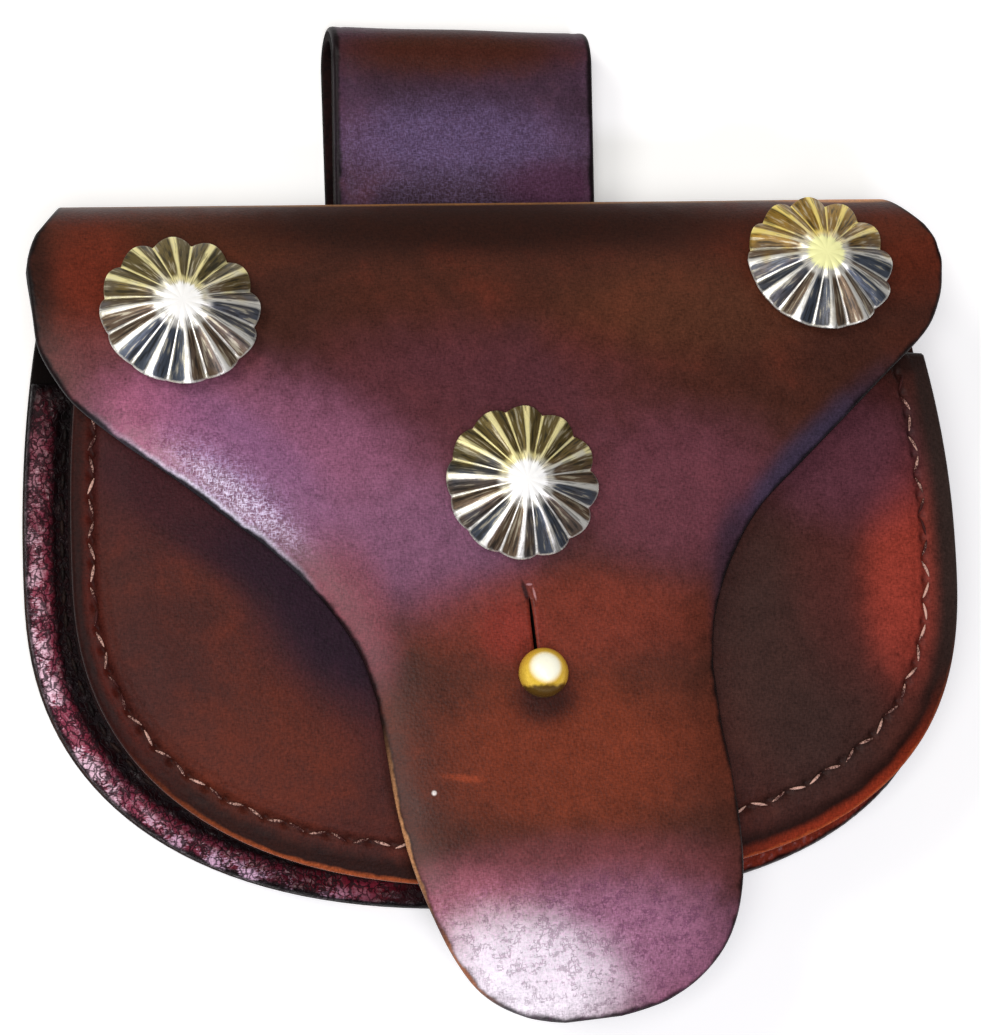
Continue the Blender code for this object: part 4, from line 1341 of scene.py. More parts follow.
@dataclass
class FrontPanel(LeatherSheet):
    """The front panel: a bulged face, a sunk line of stitch holes and a rim that leans back outside it."""

    columns: int = 560
    rim_rows: int = 34
    rim_crowding: float = 1.15
    face_rows: int = 22
    groove_depth: float = 0.00042
    groove_width: float = 0.001
    dimple_depth: float = 0.0007
    dimple_radius: float = 0.0006
    pucker_height: float = 0.00012
    pucker_offset: float = 0.002
    wave_height: float = 0.00012
    line_shade: float = 0.45
    hole_shade: float = 0.85

    def grid_size(self) -> tuple[int, int]:
        """How many rows and columns of points the flat grid has."""
        return self.rim_rows + self.face_rows, self.columns

    def bend(self, columns: Array, rows: Array) -> Array:
        """Where the middle lies: rings from the outline inwards to the middle of the mouth."""
        shape = self.shape
        points = np.zeros((len(columns), 3))
        for row in np.unique(rows):
            chosen = rows == row
            margins = 2.0 * min(1.0, row / (self.rim_rows - 1)) ** self.rim_crowding
            inward = max(0.0, (row - self.rim_rows + 1) / self.face_rows)
            side, foot = margins * shape.side_stitch_margin, margins * shape.foot_stitch_margin
            x, y = shape.front_line(side, foot, self.columns)
            lift = shape.face_lift(inward) if inward else shape.rim_lift(margins)
            line = shape.panel_point(x, y, inward, lift - shape.panel_hide / 2)
            points[chosen] = line[np.round(columns[chosen]).astype(int)]
        return points

    def seam_distances(self, points: Array) -> tuple[Array, Array]:
        """How far points lie from the line of stitching and from its nearest hole."""
        seam = front_seam(self.shape)
        return distances(points, seam.line), distances(points, seam.holes())

    def relief(self, points: Array, edge: Array) -> Array:
        """A groove along the stitching with a dimple at every hole, and slow waves over the face."""
        away, near = self.seam_distances(points)
        groove = -self.groove_depth * bell(away, self.groove_width)
        dimples = -self.dimple_depth * bell(near, self.dimple_radius)
        ripples = np.cos(near / 0.0019 * math.pi)
        puckers = self.pucker_height * bell(away - self.pucker_offset, 0.001) * ripples
        waves = wave_field(points, 0.017, 5.3) * self.wave_height * smooth_step((away - 0.002) / 0.004)
        return groove + dimples + puckers + waves

    def shade(self, points: Array) -> Array:
        """Painted shade in the stitch holes and along the line between them."""
        away, near = self.seam_distances(points)
        return np.maximum(self.line_shade * bell(away, 0.0007), self.hole_shade * bell(near, 0.0005))


GUSSET_SECTION = (
    (1.00, 0.00, 0.00),
    (0.80, 0.00, 0.00),
    (0.55, 0.00, 0.00),
    (0.20, 0.00, 0.00),
    (0.04, 0.00, 0.08),
    (0.00, 0.00, 0.26),
    (0.00, 0.00, 0.52),
    (0.00, 0.00, 0.78),
    (0.00, 0.07, 0.94),
    (0.00, 0.26, 1.00),
    (0.00, 0.60, 1.00),
    (0.00, 1.00, 1.00),
)


@dataclass
class Gusset(LeatherSheet):
    """The gusset: a crackled flange on the back panel, a wall and a flange under the panel's rim; its wall
    and the flanges by it get painted shade.
    """

    columns: int = 620
    outer_rows: int = 22
    inner_rows: int = 26
    band_width: float = 0.0062
    swell: float = 0.0007
    crack_size: float = 0.0017
    crack_depth: float = 0.00022
    crease_size: float = 0.0042
    crease_depth: float = 0.0002
    wave_height: float = 0.00012

    def grid_size(self) -> tuple[int, int]:
        """How many rows and columns of points the flat grid has."""
        return self.outer_rows + self.inner_rows, self.columns

    def section(self) -> Array:
        """Rows of the section: share towards the back outline, share towards the front one, and height."""
        marks = np.array(GUSSET_SECTION)
        coarse = np.arange(len(marks), dtype=float)
        outer = np.linspace(0.0, 2.0, self.outer_rows, endpoint=False)
        inner = np.linspace(2.0, coarse[-1], self.inner_rows)
        places = np.concatenate([outer, inner])
        return np.stack([np.interp(places, coarse, marks[:, column]) for column in range(3)], axis=-1)

    def bend(self, columns: Array, rows: Array) -> Array:
        """Where the middle lies: the section carried round the pouch."""
        shape = self.shape
        wall = np.stack(shape.wall_line(self.columns), axis=-1)
        back = np.stack(shape.back_line(self.columns), axis=-1)
        front = np.stack(shape.front_line(0.0, 0.0, self.columns), axis=-1)
        low = shape.hide + shape.seat_gap + shape.gusset_hide / 2
        slant = math.atan2(shape.rim_dip, shape.side_stitch_margin)
        stack = (shape.panel_hide + shape.gusset_hide) / 2 + shape.seat_gap
        points = np.zeros((len(columns), 3))
        section = self.section()
        for row in np.unique(rows):
            chosen = rows == row
            backward, forward, height = section[int(round(row))]
            line = wall + (back - wall) * backward + (front - wall) * forward
            high = shape.front_height(-line[:, 1]) - shape.panel_hide / 2 - stack / math.cos(slant)
            dip = shape.rim_dip * max(0.0, forward - 0.26) / 0.74
            z = lerp(low, high, height) - dip
            placed = np.column_stack([line, z])
            points[chosen] = placed[np.round(columns[chosen]).astype(int)]
        return points

    def relief(self, points: Array, edge: Array) -> Array:
        """A swollen outer band with a network of wrinkles."""
        share = held(edge / self.band_width)
        low = smooth_step((0.0075 - points[:, 2]) / 0.002)
        swell = self.swell * np.sin(np.pi * held(share * 1.05)) * low
        cracks = crack_field(points, self.crack_size, 2.3)
        creases = crack_field(points, self.crease_size, 6.1)
        fade = low * smooth_step((1.1 - share) / 0.3)
        waves = wave_field(points, 0.006, 1.7) * self.wave_height
        return swell + fade * (waves - self.crack_depth * cracks - self.crease_depth * creases**2)


@dataclass
class LoopStrap(LeatherSheet):
    """The belt loop: one strap folded over at the top, with both ends sewn behind the back panel."""

    columns: int = 56
    steps: int = 44
    wave_height: float = 0.0001
    crease_depth: float = 0.0001
    nick_heights: tuple[float, ...] = (0.0082, 0.0226)
    nick_depth: float = 0.0004
    nick_radius: float = 0.0008

    def line(self) -> Array:
        """(Y, Z) of the strap's middle at each row."""
        return self.shape.loop_line(self.steps)

    def grid_size(self) -> tuple[int, int]:
        """How many rows and columns of points the flat grid has."""
        return len(self.line()), self.columns

    def bend(self, columns: Array, rows: Array) -> Array:
        """Where the middle lies, turned a little round the normal of the strap's rear leg."""
        line = self.line()[np.round(rows).astype(int)]
        share = columns / (self.columns - 1) * 2.0 - 1.0
        reach = np.sign(share) * (1.0 - (1.0 - np.abs(share)) ** 1.5)
        x = reach * self.shape.loop_width / 2
        turn = np.array(self.shape.loop_rotation)
        points = np.stack([x, line[:, 0], line[:, 1]], axis=-1) @ turn.T
        points[:, 0] += self.shape.loop_shift
        return points

    def relief(self, points: Array, edge: Array) -> Array:
        """Slow waves, a pressed line along each edge and a few nicks."""
        waves = wave_field(points, 0.013, 4.4) * self.wave_height
        line = -self.crease_depth * bell(edge - 0.0021, 0.0004)
        nicks = np.zeros(len(points))
        for y in self.nick_heights:
            for side in (-1.0, 1.0):
                spot = np.array([side * self.shape.loop_width / 2, y * (1.0 - 0.25 * side)])
                away = np.linalg.norm(points[:, :2] - spot, axis=1)
                nicks -= self.nick_depth * bell(away, self.nick_radius)
        return (waves + line + nicks) * smooth_step(edge / 0.0003)


@dataclass(frozen=True)
class Seam:
    """A line of stitches: where its holes lie and which way is out of the leather."""

    line: list[Vector]
    out: Vector
    pitch: float
    slant: float
    length: float
    radius: float
    arch: float

    def holes(self) -> list[Vector]:
        """Points along the line, one pitch apart."""
        lengths = [0.0]
        for start, end in zip(self.line, self.line[1:]):
            lengths.append(lengths[-1] + (end - start).length)
        count = int(lengths[-1] / self.pitch)
        marks = [(index + 0.5) * lengths[-1] / count for index in range(count)]
        axes = [np.interp(marks, lengths, [point[axis] for point in self.line]) for axis in range(3)]
        return [Vector(point) for point in zip(*axes)]


def front_seam(shape: BagShape) -> Seam:
    """The stitching round the front panel, nearer to the edge on the left than on the right."""
    left_margins, right_margins, end_points = 0.62, 1.32, 6
    x, y = shape.front_line(0.0, 0.0, SEAM_POINTS)
    inner_x, inner_y = shape.front_line(shape.side_stitch_margin, shape.foot_stitch_margin, SEAM_POINTS)
    margins = lerp(left_margins, right_margins, (x / shape.front_half_width + 1.0) / 2.0)
    x, y = lerp(x, inner_x, margins), lerp(y, inner_y, margins)
    line = shape.panel_point(x, y, 0.0, shape.rim_lift(margins))
    points = [Vector(point) for point in line[end_points:-end_points]]
    out = Vector((0.0, 0.0, 1.0))
    return Seam(points, out, pitch=0.0035, slant=0.0005, length=0.003, radius=0.00025, arch=0.00022)


def back_seam(shape: BagShape, rear: bool) -> Seam:
    """The stitching that holds the gusset on the back panel, seen in the groove or from behind."""
    end_points, rear_level = 14, 0.00045
    wall = np.stack(shape.wall_line(SEAM_POINTS), axis=-1)
    back = np.stack(shape.back_line(SEAM_POINTS), axis=-1)
    line = lerp(back, wall, 0.5)
    level = rear_level if rear else shape.hide + shape.seat_gap + shape.gusset_hide
    points = [Vector((x, y, level)) for x, y in line[end_points:-end_points]]
    out = Vector((0.0, 0.0, -1.0 if rear else 1.0))
    return Seam(points, out, pitch=0.0038, slant=0.0, length=0.003, radius=0.0004, arch=0.00018)


def loop_seam(shape: BagShape) -> Seam:
    """The box of stitches at the foot of the belt strap, on its rear leg."""
    margin, height, sunk, steps = 0.0045, 0.013, 0.0004, 20
    half = shape.loop_width / 2 - margin
    low = -shape.loop_foot_drop + margin
    high = low + height
    foot_z = -2 * (shape.seat_gap + shape.strap_hide) + sunk
    box = [(-half, low), (half, low), (half, high), (-half, high), (-half, low)]
    points = []
    for start, end in zip(box, box[1:]):
        for step in range(steps):
            x, y = (lerp(a, b, step / steps) for a, b in zip(start, end))
            z = foot_z - (y + shape.loop_foot_drop) * math.tan(shape.loop_slope)
            points.append(shape.loop_rotation @ Vector((x, y, z)) + Vector((shape.loop_shift, 0.0, 0.0)))
    out = -shape.loop_normal
    return Seam(points, out, pitch=0.004, slant=0.0, length=0.0033, radius=0.00034, arch=0.00025)


@dataclass
class Stitches(Piece):
    """The threads of one or more seams, each stitch a slim bent strand between two holes."""

    seams: tuple[Seam, ...] = ()
    end_drop: float = 1.9
    end_slimming: float = 0.35
    wander: float = 0.0004

    def strand(self, shape: Mesh, seam: Seam, start: Vector, end: Vector, lean: float) -> None:
        """Adds one stitch.

        Args:
            shape: The mesh that collects the stitches.
            seam: The seam that it belongs to.
            start: Its first hole.
            end: Its last hole.
            lean: How far its ends shift to opposite sides of the line.
        """
        along = (end - start).normalized()
        aside = seam.out.cross(along).normalized()
        leaning = (along * seam.length + aside * 2 * lean).normalized()
        aside = seam.out.cross(leaning)
        made = bmesh.ops.create_uvsphere(shape, u_segments=8, v_segments=6, radius=1.0)["verts"]
        middle = (start + end) / 2
        half = seam.length / 2
        for vertex in made:
            place = vertex.co.z
            rise = seam.arch * (1.0 - self.end_drop * place**2) + vertex.co.x * seam.radius
            slim = 1.0 - self.end_slimming * place**2
            sideways = aside * vertex.co.y * seam.radius * slim
            vertex.co = middle + leaning * place * half + sideways + seam.out * rise

    def build(self) -> Object:
        """Makes the stitches as one mesh."""
        shape = bmesh.new()
        for seam in self.seams:
            holes = seam.holes()
            for index, (start, end) in enumerate(zip(holes, holes[1:])):
                wander = noise.noise(Vector((index * 1.7, len(holes), 0.3)))
                lean = seam.slant * (1.0 if index % 2 else -1.0) + wander * self.wander
                self.strand(shape, seam, start, end, lean)
        return self.finish(shape)


@dataclass(frozen=True)
class StudFit:
    """How one fluted stud lies on its seat: turned, wider or narrower, tilted up and slid down."""

    turn: float = 0.0
    spread: float = 1.0
    lift: float = 0.0
    slide: float = 0.0


STUD_FITS = {
    Place.LEFT: StudFit(spread=1.03, lift=math.radians(4.5), slide=0.0003),
    Place.CENTRE: StudFit(turn=math.radians(-10.0)),
    Place.RIGHT: StudFit(lift=math.radians(3.5), slide=0.001),
}

DOME_PROFILE = (
    (0.0, 1.0), (0.08, 1.0), (0.16, 0.99), (0.30, 0.945), (0.45, 0.87),
    (0.60, 0.755), (0.75, 0.61), (0.88, 0.455), (1.0, 0.28),
)
FLUTE_PROFILE = ((0.0, 0.0), (0.14, 0.02), (0.26, 0.2), (0.45, 0.55), (0.75, 0.9), (1.0, 1.0))


@dataclass
class Concho(Piece):
    """A domed stud with rounded ridges, sharp valleys, a scalloped rim and a short post."""

    place: Place = Place.CENTRE
    fit: StudFit = StudFit()
    rings: int = 30
    flute_steps: int = 14
    seed: float = 0.0
    seed_step: float = 1.9
    ridge_sharpness: float = 0.85
    rim_bevel: float = 0.00016

    def build(self) -> Object:
        """Makes the fluted dome, its thickness, its rounded rim and its post."""
        size = self.shape
        count = size.flutes * self.flute_steps
        shape = bmesh.new()
        bmesh.ops.create_grid(shape, x_segments=count, y_segments=self.rings, size=0.5)
        names = ("upper", "hollow", "tint", "middle")
        for name in names:
            shape.verts.layers.float.new(name)
        shape.verts.layers.float_vector.new("ring")
        upper, hollow, tint, middle = (shape.verts.layers.float[name] for name in names)
        ring = shape.verts.layers.float_vector["ring"]
        for vertex in shape.verts:
            angle = (vertex.co.x + 0.5) * math.tau
            share = vertex.co.y + 0.5
            flute = angle * size.flutes / 2
            ridge = round(flute / math.pi)
            aside = 2.0 * abs(flute / math.pi - ridge)
            lap = size.flutes * self.seed_step
            unevenness = noise.noise(Vector((ridge * self.seed_step % lap, self.seed, 0.0)))
            wave = abs(math.cos(flute)) ** self.ridge_sharpness
            depth = size.flute_depth * (1.0 + 0.25 * unevenness) * read_profile(FLUTE_PROFILE, share)
            rim = size.concho_radius - size.scallop + size.scallop * wave * share
            radius = rim * share * self.fit.spread
            height = read_profile(DOME_PROFILE, share) * size.concho_height - depth * (1.0 - wave)
            turned = angle + self.fit.turn
            vertex.co = (radius * math.cos(turned), radius * math.sin(turned), max(height, 0.0))
            # These layers carry painted light: upper a painted warm reflection on the upper half, hollow
            # painted dark reflections in the flanks between bright ridges, middle a painted white glare round
            # the apex, and tint a cool or warm painted reflection for each flank.
            vertex[upper] = 0.5 + 0.5 * math.sin(turned) * share
            between = smooth_step((aside - 0.07) / 0.17) * (1.0 - smooth_step((aside - 0.9) / 0.08))
            between *= 1.0 - smooth_step((share - 0.96) / 0.02) * (0.55 - 0.45 * math.sin(turned))
            vertex[hollow] = float(between * smooth_step((share - 0.24) / 0.26))
            vertex[middle] = float(1.0 - smooth_step((share - 0.13) / 0.26))
            vertex[ring] = Vector((math.cos(turned), math.sin(turned), 0.15 * share + self.seed))
            flank = math.floor(2.0 * flute / math.pi) % (2 * size.flutes)
            vertex[tint] = 0.5 + noise.noise(Vector((flank * 1.37, self.seed * 2.1, 4.0)))
        bmesh.ops.remove_doubles(shape, verts=shape.verts, dist=MERGE_DISTANCE)
        bmesh.ops.recalc_face_normals(shape, faces=shape.faces)
        shell = list(shape.faces)
        bmesh.ops.solidify(shape, geom=shell, thickness=size.concho_metal * 0.8)
        sharp, rim_radius = math.radians(50), size.concho_radius * 0.9

        def on_rim(edge: bmesh.types.BMEdge) -> bool:
            """Whether an edge is a sharp one on the rim."""
            if len(edge.link_faces) != 2 or edge.calc_face_angle(0.0) <= sharp:
                return False
            return min(math.hypot(*vertex.co.xy) for vertex in edge.verts) > rim_radius

        rim_edges = list(filter(on_rim, shape.edges))
        bmesh.ops.bevel(
            shape, geom=rim_edges, offset=self.rim_bevel, segments=2, profile=0.5, affect="EDGES", material=-1
        )
        post_foot = -(size.hide + size.stud_gap)
        post_top = size.concho_height - size.concho_metal - size.flute_depth
        middle_up = Matrix.Translation((0.0, 0.0, (post_top + post_foot) / 2))
        bmesh.ops.create_cone(
            shape, cap_ends=True, segments=24, radius1=size.post_radius, radius2=size.post_radius,
            depth=post_top - post_foot, matrix=middle_up,
        )
        seat = size.concho_seat(self.place) @ Matrix.Translation((0.0, 0.0, size.hide / 2 + size.stud_gap))
        rim = Matrix.Translation((0.0, -size.concho_radius, 0.0))
        slid = Matrix.Translation((0.0, -self.fit.slide, 0.0))
        seat = seat @ slid @ rim @ Matrix.Rotation(self.fit.lift, 4, "X") @ rim.inverted()
        bmesh.ops.transform(shape, matrix=seat, verts=shape.verts)
        return self.finish(shape)


@dataclass
class BallStud(Piece):
    """The turned ball stud: a flat base, a neck through the slit and a polished ball."""

    sides: int = 64
    ball_steps: int = 28

    def profile(self) -> list[tuple[float, float]]:
        """(Radius, height) from the base on the front panel to the top of the ball."""
        size = self.shape
        seat = size.flap_seat(*size.ball_place, size.ball_radius)
        flap_top = seat.translation.z + size.hide / 2 - size.panel_face
        angle = math.asin(size.stud_neck_radius / size.ball_radius)
        centre = flap_top + size.ball_radius * math.cos(angle)
        base_top = size.seat_gap + size.stud_base_thickness
        corner, fillet = 0.0002, 0.0003
        points = [
            (0.0, size.seat_gap),
            (size.stud_base_radius - corner, size.seat_gap),
            (size.stud_base_radius, size.seat_gap + corner),
            (size.stud_base_radius, base_top - corner),
            (size.stud_base_radius - corner, base_top),
            (size.stud_neck_radius + fillet, base_top),
            (size.stud_neck_radius, base_top + fillet),
            (size.stud_neck_radius, centre - size.ball_radius * math.cos(angle) - corner),
        ]
        for step in range(self.ball_steps + 1):
            turn = lerp(angle, math.pi, step / self.ball_steps)
            radius = 0.0 if step == self.ball_steps else size.ball_radius * math.sin(turn)
            points.append((radius, centre - size.ball_radius * math.cos(turn)))
        return points

    def build(self) -> Object:
        """Turns the profile round the stud's axis."""
        size = self.shape
        shape = bmesh.new()
        points = [shape.verts.new((radius, 0.0, height)) for radius, height in self.profile()]
        edges = [shape.edges.new(pair) for pair in zip(points, points[1:])]
        around = {"cent": (0, 0, 0), "axis": (0, 0, 1), "angle": math.tau, "steps": self.sides}
        bmesh.ops.spin(shape, geom=points + edges, use_merge=True, **around)
        bmesh.ops.remove_doubles(shape, verts=shape.verts, dist=MERGE_DISTANCE)
        bmesh.ops.recalc_face_normals(shape, faces=shape.faces)
        # Painted light: crown marks a painted highlight where the ball faces the flash, under a painted dark
        # reflection on its lower side.
        for name in ("crown", "under"):
            shape.verts.layers.float.new(name)
        crown, under = (shape.verts.layers.float[name] for name in ("crown", "under"))
        shape.normal_update()
        shine = Vector((-0.12, 0.24, 0.96))
        for vertex in shape.verts:
            facing = vertex.normal.dot(shine)
            vertex[crown] = float(smooth_step((facing - 0.6) / 0.34))
            vertex[under] = float(smooth_step((-vertex.normal.y - 0.3) / 0.36))
        foot = Matrix.Translation((size.ball_shift, -size.ball_drop, size.panel_face))
        bmesh.ops.transform(shape, matrix=foot, verts=shape.verts)
        return self.finish(shape)


@dataclass(frozen=True)
class Lamp:
    """A soft area light, placed by the direction it comes from in the bag's frame."""

    name: str
    direction: tuple[float, float, float]
    distance: float
    size: tuple[float, float]
    power: float
    colour: Colour

    def build(self, layout: Layout, aim: Vector) -> Object:
        """Makes the light and points it at the bag."""
        data = bpy.data.lights.new(self.name, "AREA")
        data.shape = "RECTANGLE"
        data.size, data.size_y = self.size
        data.energy = self.power
        data.color = self.colour
        lamp = add_object(self.name, data)
        away = (layout.turn @ Vector(self.direction)).normalized()
        lamp.location = aim + away * self.distance
        lamp.rotation_euler = away.to_track_quat("Z", "Y").to_euler()
        return lamp


@dataclass(frozen=True)
class Viewpoint:
    """The photograph's camera, given in the bag's frame."""

    target: tuple[float, float, float] = (-0.0031, -0.0578, 0.015)
    left: float = math.radians(12.7)
    below: float = math.radians(5.1)
    roll: float = math.radians(2.7)
    distance: float = 0.7
    pixels_per_metre: float = 6020.0
    image_height: float = 1035.0
    sensor: float = 36.0
    target_pixels_above_middle: float = -27.5

    def build(self, layout: Layout) -> Object:
        """Makes the camera."""
        ahead = math.cos(self.below)
        back = Vector((-math.sin(self.left) * ahead, -math.sin(self.below), math.cos(self.left) * ahead))
        level = (-back).cross(Vector((0.0, 1.0, 0.0))).normalized()
        rise = level.cross(-back)
        right = level * math.cos(self.roll) - rise * math.sin(self.roll)
        up = level * math.sin(self.roll) + rise * math.cos(self.roll)
        aim = Vector(self.target) - up * self.target_pixels_above_middle / self.pixels_per_metre
        matrix = Matrix((right, up, back)).transposed().to_4x4()
        data = bpy.data.cameras.new("photograph")
        data.sensor_width = self.sensor
        data.lens = self.pixels_per_metre * self.distance / self.image_height * self.sensor
        data.clip_start, data.clip_end = 0.01, 20.0
        camera = add_object("photograph", data)
        camera.matrix_world = layout.matrix @ Matrix.Translation(aim + back * self.distance) @ matrix
        bpy.context.scene.camera = camera
        return camera


@dataclass
class Studio:
    """The plain pale floor, the soft lights and the camera."""

    layout: Layout
    floor_finish: FloorFinish
    lamps: tuple[Lamp, ...]
    viewpoint: Viewpoint
    world: Colour = (0.5, 0.5, 0.5)
    world_strength: float = 0.25

    def build(self) -> None:
        """Makes everything round the bag."""
        shape = bmesh.new()
        bmesh.ops.create_grid(shape, x_segments=1, y_segments=1, size=3.0)
        bmesh.ops.translate(shape, verts=shape.verts, vec=(0.0, 0.0, -FLOOR_GAP))
        mesh = bpy.data.meshes.new("floor")
        shape.to_mesh(mesh)
        shape.free()
        mesh.materials.append(self.floor_finish.material())
        floor = add_object("floor", mesh)
        aim = self.layout.place(self.viewpoint.target)
        for lamp in self.lamps:
            lamp.build(self.layout, aim)
        world = bpy.data.worlds.new("studio")
        world.use_nodes = True
        background = world.node_tree.nodes["Background"]
        background.inputs["Color"].default_value = (*self.world, 1.0)
        background.inputs["Strength"].default_value = self.world_strength
        bpy.context.scene.world = world
        self.viewpoint.build(self.layout)
        settings = bpy.context.scene.view_settings
        settings.view_transform = "Standard"
        settings.look = "None"


FLAP_STAINS_AND_PAINTED_LIGHT = (
    StainOrPaintedLight(0.06, -0.01, 0.07, 0.024, (96, 36, 18), 0.6),
    StainOrPaintedLight(-0.054, -0.006, 0.05, 0.016, (80, 40, 22), 0.6),
    # Painted shade over the top of the fold, a painted highlight along its top edge and a painted highlight
    # at the right ear's top corner.
    StainOrPaintedLight(-0.004, -0.004, 0.116, 0.016, (38, 16, 9), 0.94, gloss=-2.2),
    StainOrPaintedLight(-0.002, 0.0013, 0.17, 0.0018, (176, 122, 64), 0.7),
    StainOrPaintedLight(0.061, 0.0012, 0.028, 0.0026, (220, 142, 66), 0.85),
    StainOrPaintedLight(-0.068, -0.014, 0.022, 0.032, (108, 40, 24), 0.75),
    # Painted shade along the left ear's edge, where it curls away.
    StainOrPaintedLight(-0.0795, -0.013, 0.011, 0.05, (34, 18, 14), 0.75),
    StainOrPaintedLight(-0.069, -0.028, 0.026, 0.02, (104, 56, 56), 0.6),
    # From here to the olive tone: painted violet sheen over the middle and down the left diagonal; the
    # speckled pair are painted highlights along that edge.
    StainOrPaintedLight(-0.012, -0.036, 0.08, 0.036, (90, 46, 57), 0.6),
    StainOrPaintedLight(-0.04, -0.046, 0.078, 0.036, (140, 86, 114), 0.8, turn=-24.0, gloss=0.2),
    StainOrPaintedLight(-0.018, -0.06, 0.048, 0.03, (122, 79, 106), 0.72, gloss=0.2, crackle=0.2),
    StainOrPaintedLight(-0.06, -0.0388, 0.03, 0.017, (162, 90, 118), 0.76, turn=-36.0, gloss=0.3, crackle=0.4),
    StainOrPaintedLight(-0.047, -0.0455, 0.044, 0.02, (130, 86, 122), 0.72, turn=-40.0, gloss=0.4, crackle=0.7),
    StainOrPaintedLight(-0.049, -0.05, 0.034, 0.012, (176, 154, 198), 0.56, turn=-40.0, gloss=0.4, speckled=True),
    StainOrPaintedLight(-0.0478, -0.0512, 0.026, 0.006, (222, 216, 240), 0.5, turn=-40.0, gloss=0.4, speckled=True),
    StainOrPaintedLight(-0.031, -0.0705, 0.018, 0.032, (126, 64, 74), 0.8, turn=14.0),
    StainOrPaintedLight(0.024, -0.052, 0.052, 0.036, (108, 56, 70), 0.65),
    StainOrPaintedLight(0.03, -0.02, 0.06, 0.022, (90, 52, 34), 0.5),
    StainOrPaintedLight(0.004, -0.072, 0.064, 0.022, (116, 47, 32), 0.85),
    StainOrPaintedLight(-0.005, -0.074, 0.014, 0.014, (150, 42, 40), 0.26),
    StainOrPaintedLight(0.004, -0.094, 0.066, 0.036, (114, 47, 25), 0.85),
    # Painted shadow under the ball stud.
    StainOrPaintedLight(0.0, -0.085, 0.014, 0.011, (34, 14, 12), 0.8),
    # Painted violet sheen down the tongue and a painted white highlight at its tip.
    StainOrPaintedLight(0.005, -0.113, 0.066, 0.016, (112, 56, 60), 0.8, gloss=0.2),
    StainOrPaintedLight(0.0, -0.121, 0.06, 0.02, (128, 78, 96), 0.8, gloss=0.4, crackle=0.8),
    StainOrPaintedLight(0.012, -0.126, 0.052, 0.03, (150, 96, 124), 0.85, gloss=0.4, crackle=1.0),
    StainOrPaintedLight(-0.014, -0.119, 0.03, 0.02, (154, 86, 100), 0.8),
    StainOrPaintedLight(-0.0045, -0.129, 0.04, 0.025, (248, 238, 248), 0.96, turn=-14.0, gloss=0.8, crackle=0.5),
    StainOrPaintedLight(-0.002, -0.124, 0.054, 0.022, (168, 114, 152), 0.45, turn=-12.0, speckled=True),
    # Painted shade along the right diagonal edge and a painted shadow by the tongue's right edge.
    StainOrPaintedLight(0.046, -0.047, 0.052, 0.01, (50, 45, 66), 0.85, turn=43.0),
    StainOrPaintedLight(0.0325, -0.067, 0.009, 0.036, (45, 32, 44), 0.75, turn=-4.0),
    StainOrPaintedLight(-0.014, -0.0972, 0.009, 0.0016, (176, 74, 40), 0.35, turn=-8.0),
    StainOrPaintedLight(-0.0189, -0.0994, 0.001, 0.001, (240, 232, 226), 0.95),
    StainOrPaintedLight(-0.0023, -0.0676, 0.0011, 0.0052, (36, 14, 16), 0.9, turn=16.0),
    # Painted highlights at the top of the slit.
    StainOrPaintedLight(-0.0016, -0.0664, 0.0013, 0.0005, (210, 160, 166), 0.55),
    StainOrPaintedLight(-0.0008, -0.068, 0.0005, 0.0026, (214, 160, 160), 0.65, turn=12.0),
)

FLAP_LIPS_AND_PAINTED_HIGHLIGHT = (
    # A painted highlight along the left diagonal edge.
    Lip(0.0017, StainOrPaintedLight(-0.052, -0.05, 0.044, 0.012, (230, 224, 244), 0.66, turn=-40.0)),
    Lip(0.001, StainOrPaintedLight(-0.052, -0.0515, 0.09, 0.02, (8, 5, 8), 0.97, turn=-40.0)),
    Lip(0.0008, StainOrPaintedLight(-0.0225, -0.1045, 0.014, 0.032, (196, 140, 96), 0.8)),
    Lip(0.0009, StainOrPaintedLight(-0.016, -0.128, 0.016, 0.018, (166, 104, 70), 0.85)),
)

PANEL_STAINS_AND_PAINTED_SHADOW = (
    StainOrPaintedLight(0.046, -0.08, 0.052, 0.07, (56, 38, 34), 0.92),
    # Painted shadow beside the flap's left edge.
    StainOrPaintedLight(-0.034, -0.07, 0.028, 0.066, (34, 21, 34), 0.9, turn=28.0),
    StainOrPaintedLight(0.058, -0.066, 0.036, 0.052, (84, 38, 34), 0.6),
    StainOrPaintedLight(0.0645, -0.065, 0.021, 0.046, (148, 57, 44), 0.85, turn=-6.0),
    # Painted shadow along the flap's left diagonal and a painted black shadow in the gap under it.
    StainOrPaintedLight(-0.0545, -0.054, 0.056, 0.014, (36, 18, 30), 0.85, turn=-40.0),
    StainOrPaintedLight(-0.05, -0.0503, 0.066, 0.004, (8, 4, 7), 0.92, turn=-39.5),
    StainOrPaintedLight(-0.06, -0.046, 0.034, 0.034, (62, 28, 30), 0.7),
    StainOrPaintedLight(-0.046, -0.092, 0.05, 0.03, (90, 38, 24), 0.6),
    StainOrPaintedLight(0.054, -0.046, 0.04, 0.03, (88, 48, 60), 0.75),
)

